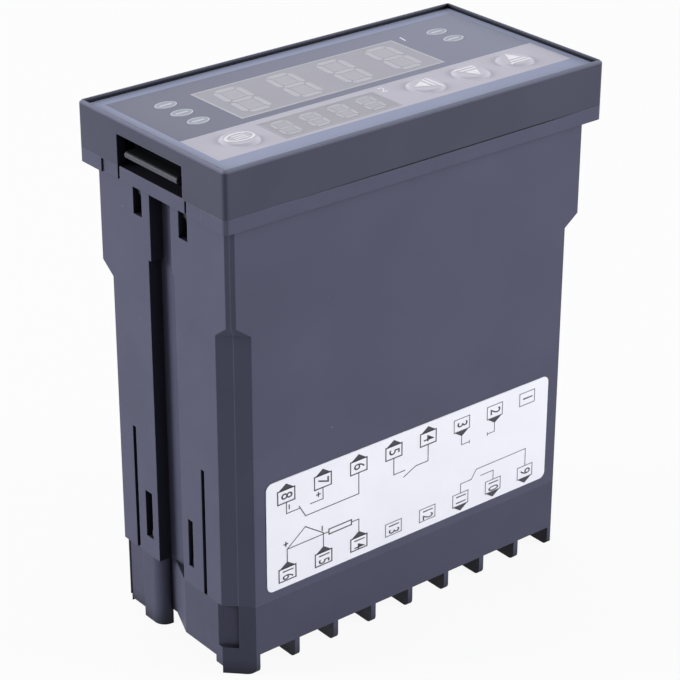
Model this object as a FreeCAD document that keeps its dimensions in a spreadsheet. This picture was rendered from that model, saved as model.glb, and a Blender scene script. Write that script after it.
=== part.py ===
import FreeCAD, Part
import os
import re

import Sketcher

# Panel-mount temperature controller, 96 x 48 mm front, standing on its rear terminal barriers.
# Millimetres. +Z leaves the front panel, X runs along the long side of the front, Y along the short side.
# The origin is the middle of the face that the barriers rest on. The wiring label is on the -Y side.

doc = FreeCAD.newDocument("panel_controller")
sheet = doc.addObject("Spreadsheet::Sheet", "sizes")

SIZES = (
    # front and overall
    ("front_long", 96.0, "front, long side"),
    ("front_short", 48.0, "front, short side"),
    ("panel_depth", 100.0, "depth behind the panel, flange to barrier tips"),
    ("flange_thick", 2.9, "case flange that seats on the panel"),
    ("bezel_height", 9.8, "front frame, above the flange"),
    # case body
    ("overhang_long", 2.1, "flange beyond the case body at each short side"),
    ("overhang_short", 2.0, "flange beyond the case body at each long side"),
    ("wall", 1.8, "case wall"),
    ("spare", 1.0, "cutting shapes run this far past a face"),
    ("case_bottom", 16.2, "rear end of the case, where the terminal block starts"),
    ("corner_small", 1.4, "corner chamfer next to the flange"),
    ("corner_wide", 4.9, "corner chamfer along the rest"),
    ("ramp_bottom", 76.7, "height where the wide chamfer ends"),
    ("ramp_top", 79.3, "height where the small chamfer starts"),
    ("flange_inset", 0.4, "flange set back between its corner blocks"),
    ("flange_block", 16.4, "corner blocks of the flange start here, from the middle"),
    ("flange_slit_at", 11.0, "slits in the flange, from the middle"),
    ("flange_slit", 0.6, "slit width"),
    ("flange_slit_deep", 1.5, "slit depth"),
    ("round_corner", 1.0, "radius of the front's vertical corners"),
    # bracket channel, windows and slits on both short sides
    ("channel_half_top", 3.5, "half width of the channel near the flange"),
    ("channel_half", 4.35, "half width of the channel below"),
    ("channel_step", 84.7, "height where the channel widens"),
    ("channel_drop", 1.0, "channel and upper windows end this far below the flange"),
    ("channel_deep", 3.0, "channel depth"),
    ("channel_wall", 1.6, "wall round the channel"),
    ("window_in", 6.1, "upper window, inner edge from the middle"),
    ("window_out", 8.95, "upper window, outer edge"),
    ("window_high", 5.9, "upper window height"),
    ("catch_in", 6.3, "lower window, inner edge"),
    ("catch_out", 8.7, "lower window, outer edge on the +Y side"),
    ("catch_near", 7.9, "lower window, outer edge on the label side"),
    ("catch_bottom", 20.5, "lower window, lower edge"),
    ("catch_top", 31.4, "lower window, upper edge"),
    ("slit_at", 11.8, "long slit, from the middle"),
    ("slit", 1.1, "long slit width"),
    ("slit_top", 45.0, "upper end of the long slits"),
    # guide rails for the boards
    ("board_at", 12.0, "middle plane of both long boards, from the middle"),
    ("board_thick", 1.6, "circuit board"),
    ("board_half", 40.0, "half width of the long boards"),
    ("board_bottom", 15.5, "rear edge of the long boards"),
    ("board_gap", 0.1, "long boards to the display board"),
    ("rail", 0.8, "rail thickness"),
    ("rail_slack", 0.2, "board to rail"),
    ("rail_bottom", 26.0, "rails start"),
    ("rail_top", 86.0, "rails end"),
    ("rail_grip", 1.0, "rail overlap over the board"),
    # terminal block
    ("block_edge", 4.5, "rear edge of the long walls"),
    ("side_edge", 3.3, "rear edge of the short walls"),
    ("foot_step", 1.7, "lower edge of the block beside each corner post"),
    ("terminal_pitch", 10.16, "terminal to terminal"),
    ("terminals", 8.0, "terminals in a row"),
    ("fin", 1.3, "barrier thickness"),
    ("fin_round", 1.4, "barrier tip radius"),
    ("bay_floor", 9.8, "floor of the terminal bays"),
    ("bay_inner", 9.4, "inner end of the bays, from the middle"),
    ("block_floor", 12.2, "inside face of the block's floor"),
    ("core_bottom", 6.5, "rear face of the middle strip"),
    ("post_round", 2.6, "rounded edge of the channel post"),
    ("post_out", 10.5, "outer end of the channel post"),
    ("relief", 1.3, "recess beside the channel post"),
    ("step_in", 14.9, "step block beside each corner post, inner side"),
    ("core_hollow", 8.0, "half width of the hollow in the middle strip"),
    ("core_reach", 37.0, "half length of that hollow"),
    ("core_skin", 1.8, "floor under that hollow"),
    ("scoop", 1.2, "scoop in each corner chamfer"),
    ("scoop_bottom", 6.2, "lower end of the scoop on the label side"),
    ("deep_foot", 0.6, "lower edge of the recessed walls on the +Y side"),
    ("side_slot", 1.5, "slot beside the channel post, width"),
    ("side_slot_deep", 1.0, "that slot, depth"),
    ("side_slot_bottom", 6.0, "that slot, lower end"),
    ("side_slot_top", 15.5, "that slot, upper end"),
    ("ramp_start", 3.0, "ramp in the block's channel, deep end from the middle"),
    ("tongue", 1.4, "thickness of the block's locating tongues"),
    ("tongue_top", 28.0, "upper end of those tongues"),
    ("tongue_half", 34.0, "half length of the long tongues"),
    ("tongue_end", 9.9, "outer end of the short tongues, from the middle"),
    ("seat_gap", 0.1, "block tongues to the case wall"),
    ("nose", 1.2, "snap nose of the tongues in the lower windows"),
    ("nose_in", 6.6, "snap nose, inner side from the middle"),
    ("nose_out", 7.7, "snap nose, outer side"),
    ("nose_flat", 1.0, "straight part of the snap nose"),
    ("nose_high", 4.0, "height of the snap nose"),
    # contacts and clamping plates
    ("screw_at", 15.4, "line of the terminal screws, from the middle"),
    ("plate_wide", 7.2, "contact plate along X"),
    ("plate_in", 10.2, "inner end of the plate, from the middle"),
    ("plate_out", 19.2, "outer end of the plate"),
    ("plate_thick", 0.8, "contact plate"),
    ("screw_hole", 1.7, "half width of the square hole in the floor"),
    ("fork_wide", 3.0, "fork width"),
    ("fork_leaf", 0.5, "fork leaf"),
    ("fork_gap", 0.05, "fork leaf to board"),
    ("fork_bottom", 14.2, "lower face of the fork's bridge"),
    ("fork_top", 24.0, "upper end of the fork"),
    ("stem", 0.8, "stem through the floor"),
    ("stem_slack", 0.1, "stem to slot"),
    ("washer_wide", 6.8, "square clamping plate"),
    ("washer_thick", 0.8, "clamping plate"),
    # front frame
    ("rim", 0.8, "rim round the film"),
    ("rim_deep", 1.0, "film top below the rim"),
    ("rim_edge", 0.5, "bevelled outer edge of the rim"),
    ("film_thick", 0.4, "printed film"),
    ("film_slack", 0.1, "film to rim"),
    ("shelf", 2.0, "shelf under the film"),
    ("frame_wall", 2.0, "frame side wall"),
    ("opening_half", 10.7, "half length of the latch opening"),
    ("opening_drop", 3.1, "upper edge of the latch opening below the rim"),
    ("opening_deep", 6.0, "depth of the latch pocket"),
    ("cheek_in", 9.4, "latch cheek, inner face from the middle"),
    ("cheek", 1.5, "latch cheek thickness"),
    ("cheek_gap", 0.3, "latch cheek to the inside of the case"),
    ("cheek_long", 3.6, "latch cheek in X"),
    ("cheek_foot", 2.2, "latch cheek below the pivot"),
    ("screen_in", 6.6, "wall behind the latch bar, inward from the case's short side"),
    ("screen_thick", 0.7, "wall behind the latch bar"),
    ("screen_half", 6.2, "half length of that wall"),
    ("screen_gap", 0.3, "that wall to the flange's face"),
    ("post", 3.6, "board post"),
    ("post_x", 36.2, "board post, from the middle"),
    ("post_y", 18.2, "board post, from the middle"),
    # display windows, lamps and keys
    ("pv_long", 51.6, "upper display window"),
    ("pv_short", 17.0, "upper display window"),
    ("pv_x", -2.0, "upper display window, middle"),
    ("pv_y", 6.0, "upper display window, middle"),
    ("sv_long", 28.6, "lower display window"),
    ("sv_short", 9.4, "lower display window"),
    ("sv_x", -13.2, "lower display window, middle"),
    ("sv_y", -11.3, "lower display window, middle"),
    ("window_slack", 0.15, "filter to film and frame"),
    ("module_slack", 0.3, "display module to frame"),
    ("filter_thick", 0.4, "display filter"),
    ("lamp_long", 4.8, "oval lamp"),
    ("lamp_short", 3.2, "oval lamp"),
    ("lamp_slack", 0.1, "lamp to its hole"),
    ("lamp_x", 34.9, "lamp columns, from the middle"),
    ("lamp_y", 12.8, "highest lamp"),
    ("lamp_pitch", 5.4, "lamp to lamp"),
    ("key_y", -11.1, "key row"),
    ("key_set_x", -34.8, "first key"),
    ("key_up_x", 35.2, "last key"),
    ("key_pitch", 12.0, "arrow key to arrow key"),
    ("key_radius", 4.0, "key dome"),
    ("key_slack", 0.1, "key to its hole"),
    ("key_proud", 0.65, "key dome above the film"),
    ("key_shoulder", 0.1, "straight side of the key above the film"),
    ("key_crown", 1.6, "flat crown of the key, radius"),
    ("key_slope", 3.0, "outer end of the key's gentle slope, radius"),
    ("key_slope_drop", 0.15, "fall of that slope"),
    ("key_flange", 4.7, "key flange radius"),
    ("flange_high", 0.5, "key flange height"),
    ("key_rest_gap", 0.2, "key flange below the shelf"),
    ("switch_wide", 6.0, "key switch"),
    ("switch_high", 3.0, "key switch"),
    ("key_stem", 1.7, "key stem radius"),
    ("stem_bore", 0.05, "key stem to its bore in the switch"),
    ("stem_in", 2.0, "key stem inside the switch"),
    ("bore_spare", 0.5, "bore under the key stem"),
    # display board
    ("front_board_long", 76.8, "display board"),
    ("front_board_short", 42.0, "display board"),
    ("front_board_gap", 0.1, "display board to the flange's face"),
    ("header_deep", 2.6, "pin header block"),
    ("header_long", 30.0, "pin header block"),
    ("header_high", 6.0, "pin header block on the long board"),
    # latch
    ("pivot_in", 3.9, "latch pivot, inward from the case's short side"),
    ("pivot_drop", 7.9, "latch pivot below the hook's upper face"),
    ("pivot", 1.0, "latch pin radius"),
    ("pivot_slack", 0.05, "latch pin to its bore"),
    ("boss", 1.3, "latch boss radius"),
    ("bar_in", 0.3, "latch bar set back from the front's short side"),
    ("bar_deep", 2.2, "latch bar, thickness"),
    ("bar_up", 2.2, "latch bar above the flange"),
    ("bar_high", 1.5, "latch bar, height"),
    ("bar_round", 0.6, "rounded outer edges of the bar"),
    ("bar_half", 8.5, "half length of the latch bar"),
    ("web", 1.2, "latch web"),
    ("arm_inset", 2.5, "latch arms, inward from the case's short side"),
    ("arm_thick", 1.4, "latch arms, thickness"),
    ("arm_near", 6.3, "latch arm, inner side from the middle"),
    ("hook_inset", 1.0, "hook nose, inward from the case's short side"),
    ("hook_gap", 0.4, "hook to the upper edge of its window"),
    ("hook_nose", 1.2, "straight part of the hook nose"),
    ("hook_ramp", 3.0, "hook ramp"),
    # label
    ("label_long", 76.2, "wiring label"),
    ("label_high", 25.0, "wiring label"),
    ("label_bottom", 18.2, "lower edge of the label"),
    ("label_thick", 0.15, "label thickness"),
    ("label_round", 1.5, "label corner radius"),
    # parts on the boards
    ("core_long", 26.0, "transformer core"),
    ("core_deep", 10.0, "transformer core stack"),
    ("core_high", 22.0, "transformer core"),
    ("coil_slack", 0.1, "transformer coil to core"),
    ("coil_deep", 17.0, "transformer coil"),
    ("transformer_x", 22.0, "transformer, middle"),
    ("transformer_at", 45.0, "transformer, middle height"),
    ("limb", 4.0, "outer limb of the core"),
    ("can_radius", 5.0, "main capacitor"),
    ("can_long", 20.0, "main capacitor"),
    ("can_x", -8.0, "main capacitor"),
    ("can_at", 40.0, "main capacitor, lower end"),
    ("relay_long", 19.0, "relay"),
    ("relay_wide", 10.0, "relay"),
    ("relay_deep", 15.5, "relay"),
    ("relay_at", 34.0, "output relay, lower end"),
    ("relay_1_x", -26.0, "output relay, middle"),
    ("relay_2_x", 20.0, "alarm relay, middle"),
    ("relay_2_at", 62.0, "alarm relay, lower end"),
    ("chip_wide", 14.0, "processor"),
    ("chip_thick", 1.6, "processor"),
    ("chip_x", -12.0, "processor, middle"),
    ("chip_at", 76.0, "processor, middle height"),
)

for row, (alias, number, note) in enumerate(SIZES, start=1):
    sheet.set("A%d" % row, note)
    sheet.set("B%d" % row, str(number))
    sheet.setAlias("B%d" % row, alias)
doc.recompute()

KNOWN = {alias for alias, number, note in SIZES}
CLOSE = 0.01

# Heights that follow from the sizes above, as expressions.
FLANGE_TOP = "(panel_depth + flange_thick)"
TOP = "(panel_depth + flange_thick + bezel_height)"
FILM_TOP = "(%s - rim_deep)" % TOP
SHELF_TOP = "(%s - film_thick)" % FILM_TOP
SHELF_BOTTOM = "(%s - shelf)" % SHELF_TOP
BOARD_UNDER = "(%s + front_board_gap)" % FLANGE_TOP
BOARD_FACE = "(%s + board_thick)" % BOARD_UNDER
PLATE_BOTTOM = "(bay_floor - plate_thick)"
WASHER_BOTTOM = "(%s - washer_thick)" % PLATE_BOTTOM
CHANNEL_TOP = "(panel_depth - channel_drop)"
HOOK_TOP = "(%s - hook_gap)" % CHANNEL_TOP
PIVOT_UP = "(%s - pivot_drop)" % HOOK_TOP
CHEEK_BOTTOM = "(%s - cheek_foot)" % PIVOT_UP

# Distances from the middle that follow from the sizes above.
FACE_X = "(front_long / 2 - overhang_long)"
FACE_Y = "(front_short / 2 - overhang_short)"
INSIDE_X = "(%s - wall)" % FACE_X
INSIDE_Y = "(%s - wall)" % FACE_Y
CHANNEL_FLOOR = "(%s - channel_deep)" % FACE_X
CORNER_IN = "(corner_wide - wall * (2 - sqrt(2)))"
BULGE_X = "(%s - channel_wall)" % CHANNEL_FLOOR
BULGE_Y = "(channel_half + channel_wall)"
PIVOT_X = "(%s - pivot_in)" % FACE_X
END_FIN = "(terminals / 2 * terminal_pitch)"
FIRST_BAY = "(terminal_pitch / 2 - %s)" % END_FIN


def bound(text):
    """An expression in size names, as the document reads it."""
    def read(word):
        return "sizes." + word.group() if word.group() in KNOWN else word.group()
    return re.sub(r"[a-z][a-z0-9_]*", read, text)


def value(text):
    return float(sheet.evalExpression(text))


def sketch_on(body, plane, name, height="0"):
    """A sketch on one of the body's own origin planes, lifted along the plane's normal."""
    sketch = body.newObject("Sketcher::SketchObject", name)
    origin = next(item for item in body.Origin.OriginFeatures if item.Role == plane)
    sketch.AttachmentSupport = (origin, "")
    sketch.MapMode = "FlatFace"
    sketch.setExpression("AttachmentOffset.Base.z", bound(height))
    return sketch


def hold(sketch, kind, text, *where):
    """One driving dimension, tied to its expression."""
    index = sketch.addConstraint(Sketcher.Constraint(kind, *where, value(text)))
    sketch.setExpression("Constraints[%d]" % index, bound(text))


def pin(sketch, edge, end, x, y):
    hold(sketch, "DistanceX", x, -1, 1, edge, end)
    hold(sketch, "DistanceY", y, -1, 1, edge, end)


def outline(sketch, points):
    """A closed outline of straight lines through points given as expressions."""
    places = [FreeCAD.Vector(value(x), value(y), 0) for x, y in points]
    first = sketch.GeometryCount
    count = len(points)
    for start, end in zip(places, places[1:] + places[:1]):
        sketch.addGeometry(Part.LineSegment(start, end), False)
    for index in range(count):
        following = first + (index + 1) % count
        sketch.addConstraint(Sketcher.Constraint("Coincident", first + index, 2, following, 1))
    for index, (x, y) in enumerate(points):
        pin(sketch, first + index, 1, x, y)


def rectangle(sketch, x0, x1, y0, y1):
    outline(sketch, ((x0, y0), (x1, y0), (x1, y1), (x0, y1)))


def circle(sketch, x, y, radius):
    centre = FreeCAD.Vector(value(x), value(y), 0)
    edge = sketch.addGeometry(Part.Circle(centre, FreeCAD.Vector(0, 0, 1), value(radius)), False)
    pin(sketch, edge, 3, x, y)
    hold(sketch, "Radius", radius, edge)


def oval(sketch, x, y, reach, radius):
    """A slot-shaped outline: two half circles, reach apart from the middle, joined by tangent lines."""
    left = FreeCAD.Vector(value("%s - %s" % (x, reach)), value(y), 0)
    right = FreeCAD.Vector(value("%s + %s" % (x, reach)), value(y), 0)
    up = FreeCAD.Vector(0, value(radius), 0)
    normal = FreeCAD.Vector(0, 0, 1)
    quarter = FreeCAD.Units.Quantity("90 deg").getValueAs("rad").Value
    first = sketch.GeometryCount
    sketch.addGeometry(Part.LineSegment(left - up, right - up), False)
    sketch.addGeometry(Part.ArcOfCircle(Part.Circle(right, normal, up.y), -quarter, quarter), False)
    sketch.addGeometry(Part.LineSegment(right + up, left + up), False)
    sketch.addGeometry(Part.ArcOfCircle(Part.Circle(left, normal, up.y), quarter, 3 * quarter), False)
    for step in range(4):
        sketch.addConstraint(Sketcher.Constraint("Tangent", first + step, 2, first + (step + 1) % 4, 1))
    pin(sketch, first + 1, 3, "%s + %s" % (x, reach), y)
    pin(sketch, first + 3, 3, "%s - %s" % (x, reach), y)
    hold(sketch, "Radius", radius, first + 1)


def pad(body, sketch, name, length, both=False):
    feature = body.newObject("PartDesign::Pad", name)
    feature.Profile = sketch
    feature.setExpression("Length", bound(length))
    if both:
        feature.SideType = "Symmetric"
    return feature


def pocket(body, sketch, name, length, both=False):
    """A cut against the sketch's normal, or to both sides. It must take material away."""
    doc.recompute()
    before = body.Shape.Volume
    feature = body.newObject("PartDesign::Pocket", name)
    feature.Profile = sketch
    feature.setExpression("Length", bound(length))
    if both:
        feature.SideType = "Symmetric"
    doc.recompute()
    if body.Shape.Volume >= before:
        raise RuntimeError("%s cuts nothing" % name)
    return feature


def round_edges(body, name, radius, wanted, kind="Fillet", side="Radius"):
    """A fillet or chamfer on the edges of the body for which wanted(edge) is true."""
    doc.recompute()
    picked = ["Edge%d" % (index + 1) for index, edge in enumerate(body.Shape.Edges) if wanted(edge)]
    base = body.Tip
    feature = body.newObject("PartDesign::" + kind, name)
    feature.Base = (base, picked)
    feature.setExpression(side, bound(radius))
    doc.recompute()
    return feature


def new_body(name):
    body = doc.addObject("PartDesign::Body", name)
    body.Label = name
    return body


def octagon(sketch, half_x, half_y, leg):
    """A rectangle with its four corners cut at 45 degrees."""
    in_x = "(%s - %s)" % (half_x, leg)
    in_y = "(%s - %s)" % (half_y, leg)
    outline(sketch, (
        ("-" + in_x, "-(%s)" % half_y), (in_x, "-(%s)" % half_y), (half_x, "-" + in_y), (half_x, in_y),
        (in_x, half_y), ("-" + in_x, half_y), ("-(%s)" % half_x, in_y), ("-(%s)" % half_x, "-" + in_y)))


def box(name, low, size):
    """A Part box with its corner and its three sizes as expressions."""
    solid = doc.addObject("Part::Box", name)
    for side, text in zip(("Length", "Width", "Height"), size):
        solid.setExpression(side, bound(text))
    for axis, text in zip("xyz", low):
        solid.setExpression("Placement.Base." + axis, bound(text))
    return solid


def rod(name, base, radius, length):
    """A Part cylinder along +Z."""
    solid = doc.addObject("Part::Cylinder", name)
    solid.setExpression("Radius", bound(radius))
    solid.setExpression("Height", bound(length))
    for axis, text in zip("xyz", base):
        solid.setExpression("Placement.Base." + axis, bound(text))
    return solid


def cut(name, base, tool):
    result = doc.addObject("Part::Cut", name)
    result.Base = base
    result.Tool = tool
    result.Label = name
    return result


def joined(name, *pieces):
    result = doc.addObject("Part::MultiFuse", name)
    result.Shapes = list(pieces)
    result.Label = name
    return result


def vertical_at(x, y):
    """Picks vertical edges at the four corners x, y."""
    def wanted(edge):
        low, high = edge.BoundBox.ZMin, edge.BoundBox.ZMax
        middle = edge.BoundBox.Center
        near = abs(abs(middle.x) - value(x)) < CLOSE and abs(abs(middle.y) - value(y)) < CLOSE
        return near and high - low > CLOSE
    return wanted


def both_sides(sketch, x0, x1, y0, y1):
    """The same rectangle at -X and +X."""
    rectangle(sketch, x0, x1, y0, y1)
    rectangle(sketch, "-(%s)" % x1, "-(%s)" % x0, y0, y1)


def four_corners(sketch, x0, x1, y0, y1):
    both_sides(sketch, x0, x1, y0, y1)
    both_sides(sketch, x0, x1, "-(%s)" % y1, "-(%s)" % y0)


def notched(sketch, slack):
    """The inside of the case or block: an octagon that steps in round both channels."""
    half_x = "(%s - %s)" % (INSIDE_X, slack)
    half_y = "(%s - %s)" % (INSIDE_Y, slack)
    in_x = "(%s - %s)" % (half_x, CORNER_IN)
    in_y = "(%s - %s)" % (half_y, CORNER_IN)
    near_x = "(%s - %s)" % (BULGE_X, slack)
    near_y = "(%s + %s)" % (BULGE_Y, slack)
    quarter = ((near_x, near_y), (half_x, near_y), (half_x, in_y), (in_x, half_y))
    points = list(quarter)
    points += [("-" + x, y) for x, y in reversed(quarter)]
    points += [("-" + x, "-" + y) for x, y in quarter]
    points += [(x, "-" + y) for x, y in reversed(quarter)]
    outline(sketch, points)


def scoops(sketch, y_sign):
    """Right-angled cuts in the half of each corner chamfer that is next to the short face."""
    apex_x = "(%s - corner_wide / 2 - scoop / 2)" % FACE_X
    apex_y = "(%s - corner_wide / 2 - scoop / 2)" % FACE_Y
    reach = "(corner_wide / 2 + scoop / 2 + spare)"
    for x_sign in ("", "-"):
        outline(sketch, (
            (x_sign + apex_x, y_sign + apex_y),
            ("%s(%s + %s)" % (x_sign, apex_x, reach), "%s(%s - %s)" % (y_sign, apex_y, reach)),
            ("%s(%s + %s)" % (x_sign, apex_x, reach), "%s(%s + %s)" % (y_sign, apex_y, reach))))


# Case shell: prism with two chamfer widths and a ramp between them, flange, channels, windows and slits.
case = new_body("case_shell")
plan = sketch_on(case, "XY_Plane", "case_plan", "case_bottom")
octagon(plan, FACE_X, FACE_Y, "corner_wide")
pad(case, plan, "case_lower", "ramp_bottom - case_bottom")
ramp_low = sketch_on(case, "XY_Plane", "ramp_low", "ramp_bottom")
octagon(ramp_low, FACE_X, FACE_Y, "corner_wide")
ramp_high = sketch_on(case, "XY_Plane", "ramp_high", "ramp_top")
octagon(ramp_high, FACE_X, FACE_Y, "corner_small")
ramp = case.newObject("PartDesign::AdditiveLoft", "corner_ramp")
ramp.Profile = ramp_low
ramp.Sections = [ramp_high]
ramp.Ruled = True
doc.recompute()
plan = sketch_on(case, "XY_Plane", "case_upper_plan", "ramp_top")
octagon(plan, FACE_X, FACE_Y, "corner_small")
pad(case, plan, "case_upper", "panel_depth - ramp_top")
plan = sketch_on(case, "XY_Plane", "flange_plan", "panel_depth")
inset = "(front_long / 2 - flange_inset)"
half = "(front_long / 2)"
depth = "(front_short / 2)"
outline(plan, (
    ("-" + half, "-" + depth), (half, "-" + depth), (half, "-flange_block"), (inset, "-flange_block"),
    (inset, "flange_block"), (half, "flange_block"), (half, depth), ("-" + half, depth),
    ("-" + half, "flange_block"), ("-" + inset, "flange_block"), ("-" + inset, "-flange_block"),
    ("-" + half, "-flange_block")))
pad(case, plan, "flange", "flange_thick")
round_edges(case, "flange_corners", "round_corner", vertical_at("front_long / 2", "front_short / 2"))
plan = sketch_on(case, "XY_Plane", "inside_plan", FLANGE_TOP)
octagon(plan, INSIDE_X, INSIDE_Y, CORNER_IN)
pocket(case, plan, "inside_top", "%s - %s - channel_wall" % (FLANGE_TOP, CHANNEL_TOP))
plan = sketch_on(case, "XY_Plane", "inside_low_plan", CHANNEL_TOP + " + channel_wall")
notched(plan, "0")
pocket(case, plan, "inside", CHANNEL_TOP + " + channel_wall - case_bottom + spare")
plan = sketch_on(case, "XY_Plane", "channel_plan", CHANNEL_TOP)
both_sides(plan, CHANNEL_FLOOR, FACE_X + " + spare", "-channel_half_top", "channel_half_top")
pocket(case, plan, "channel_narrow", CHANNEL_TOP + " - channel_step + spare")
plan = sketch_on(case, "XY_Plane", "channel_low_plan", "channel_step")
both_sides(plan, CHANNEL_FLOOR, FACE_X + " + spare", "-channel_half", "channel_half")
pocket(case, plan, "channel", "channel_step - case_bottom + spare")
side = sketch_on(case, "YZ_Plane", "window_side")
for low, high in (("window_in", "window_out"), ("-window_out", "-window_in")):
    rectangle(side, low, high, CHANNEL_TOP + " - window_high", CHANNEL_TOP)
rectangle(side, "catch_in", "catch_out", "catch_bottom", "catch_top")
rectangle(side, "-catch_near", "-catch_in", "catch_bottom", "catch_top")
rectangle(side, "slit_at - slit / 2", "slit_at + slit / 2", "case_bottom - spare", "slit_top")
rectangle(side, "-slit_at - slit / 2", "-slit_at + slit / 2", "case_bottom - spare", "slit_top")
pocket(case, side, "windows", "2 * (%s + spare)" % FACE_X, both=True)
plan = sketch_on(case, "XY_Plane", "flange_slit_plan", FLANGE_TOP)
four_corners(plan, inset + " - flange_slit_deep", half, "flange_slit_at - flange_slit / 2",
             "flange_slit_at + flange_slit / 2")
pocket(case, plan, "flange_slits", "flange_thick")
plan = sketch_on(case, "XY_Plane", "rail_plan", "rail_bottom")
gap = "(board_thick / 2 + rail_slack)"
rail_end = FACE_X + " - wall / 2"
four_corners(plan, "board_half - rail_grip", rail_end, "board_at - %s - rail" % gap, "board_at - " + gap)
four_corners(plan, "board_half - rail_grip", rail_end, "board_at + " + gap, "board_at + %s + rail" % gap)
pad(case, plan, "rails", "rail_top - rail_bottom")
doc.recompute()

# Terminal block: octagonal ring, floor, two rows of bays with barriers that the controller rests on.
block = new_body("terminal_block")
plan = sketch_on(block, "XY_Plane", "ring_plan", "block_edge")
octagon(plan, FACE_X, FACE_Y, "corner_wide")
pad(block, plan, "ring", "case_bottom - block_edge")
plan = sketch_on(block, "XY_Plane", "side_plan", "side_edge")
both_sides(plan, INSIDE_X, FACE_X, "-step_in", "step_in")
both_sides(plan, BULGE_X, INSIDE_X, "-" + BULGE_Y, BULGE_Y)
pad(block, plan, "side_walls", "block_edge - side_edge")
doc.recompute()
plan = sketch_on(block, "XY_Plane", "step_plan", "foot_step")
four_corners(plan, INSIDE_X, FACE_X, "step_in", FACE_Y + " - corner_wide")
pad(block, plan, "step_blocks", "block_edge - foot_step")
doc.recompute()
plan = sketch_on(block, "XY_Plane", "post_plan")
fin_in = "(%s - fin / 2)" % END_FIN
fin_out = "(%s + fin / 2)" % END_FIN
chamfer_x = "(%s - corner_wide)" % FACE_X
chamfer_y = "(%s - corner_wide)" % FACE_Y
for x_sign in ("", "-"):
    for y_sign in ("", "-"):
        outline(plan, (
            (x_sign + fin_in, y_sign + "bay_inner"), (x_sign + fin_out, y_sign + "bay_inner"),
            (x_sign + fin_out, y_sign + chamfer_y), (x_sign + FACE_X, y_sign + chamfer_y),
            (x_sign + chamfer_x, y_sign + FACE_Y), (x_sign + fin_in, y_sign + FACE_Y)))
pad(block, plan, "corner_posts", "bay_floor")
doc.recompute()
plan = sketch_on(block, "XY_Plane", "bay_plan", "bay_floor")
rectangle(plan, "-" + fin_in, fin_in, "bay_inner", INSIDE_Y)
rectangle(plan, "-" + fin_in, fin_in, "-" + INSIDE_Y, "-bay_inner")
pocket(block, plan, "bays", "bay_floor + spare")
plan = sketch_on(block, "XY_Plane", "strip_plan", "core_bottom")
rectangle(plan, "-" + fin_out, fin_out, "-bay_inner", "bay_inner")
pocket(block, plan, "strip", "core_bottom + spare")
plan = sketch_on(block, "XY_Plane", "end_plan", "bay_floor")
four_corners(plan, fin_out, INSIDE_X, BULGE_Y, "step_in")
pocket(block, plan, "end_hollows", "bay_floor + spare")
plan = sketch_on(block, "XY_Plane", "channel_post_plan")
both_sides(plan, CHANNEL_FLOOR, FACE_X, "channel_half", "post_out")
pad(block, plan, "channel_posts", "bay_floor")
doc.recompute()
plan = sketch_on(block, "XY_Plane", "deep_wall_plan", "deep_foot")
deep_x = "(%s - relief)" % FACE_X
both_sides(plan, deep_x + " - wall", deep_x, "post_out", chamfer_y)
pad(block, plan, "deep_walls", "bay_floor - deep_foot")
doc.recompute()
plan = sketch_on(block, "XY_Plane", "relief_plan", "case_bottom")
both_sides(plan, deep_x, FACE_X + " + spare", "post_out", chamfer_y)
pocket(block, plan, "reliefs", "case_bottom + spare")
plan = sketch_on(block, "XY_Plane", "block_inside_plan", "case_bottom")
notched(plan, "seat_gap")
pocket(block, plan, "block_inside", "case_bottom - block_floor")
plan = sketch_on(block, "XY_Plane", "block_channel_plan", "case_bottom")
for x_sign in ("", "-"):
    outline(plan, (
        (x_sign + CHANNEL_FLOOR, "channel_half"), ("%s(%s + spare)" % (x_sign, FACE_X), "channel_half"),
        ("%s(%s + spare)" % (x_sign, FACE_X), "-channel_half"), (x_sign + FACE_X, "-channel_half"),
        (x_sign + CHANNEL_FLOOR, "ramp_start")))
pocket(block, plan, "block_channel", "case_bottom + spare")
plan = sketch_on(block, "XY_Plane", "side_slot_plan", "side_slot_top")
both_sides(plan, deep_x + " - side_slot_deep", FACE_X + " + spare", "post_out", "post_out + side_slot")
pocket(block, plan, "side_slots", "side_slot_top - side_slot_bottom")
plan = sketch_on(block, "XY_Plane", "hollow_plan", "block_floor")
rectangle(plan, "-core_reach", "core_reach", "-core_hollow", "core_hollow")
pocket(block, plan, "strip_hollow", "block_floor - core_bottom - core_skin")
plan = sketch_on(block, "XY_Plane", "block_scoop_plan", "case_bottom + spare")
scoops(plan, "-")
pocket(block, plan, "label_side_scoops", "case_bottom + spare - scoop_bottom")
plan = sketch_on(block, "XY_Plane", "long_scoop_plan", "case_bottom + spare")
scoops(plan, "")
pocket(block, plan, "long_scoops", "case_bottom + 2 * spare")
side = sketch_on(block, "YZ_Plane", "fin_side", "terminal_pitch - " + END_FIN)
rectangle(side, "bay_inner - wall / 2", FACE_Y, "0", "bay_floor + wall / 2")
rectangle(side, "-" + FACE_Y, "wall / 2 - bay_inner", "0", "bay_floor + wall / 2")
fins = pad(block, side, "barrier", "fin", both=True)
doc.recompute()


def repeat(body, feature, name, length, count):
    """Copies of one feature along X."""
    pattern = body.newObject("PartDesign::LinearPattern", name)
    pattern.Originals = [feature]
    pattern.Direction = (next(item for item in body.Origin.OriginFeatures if item.Role == "X_Axis"), [""])
    pattern.setExpression("Length", bound(length))
    pattern.setExpression("Occurrences", bound(count))
    body.Tip = pattern
    doc.recompute()


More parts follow.
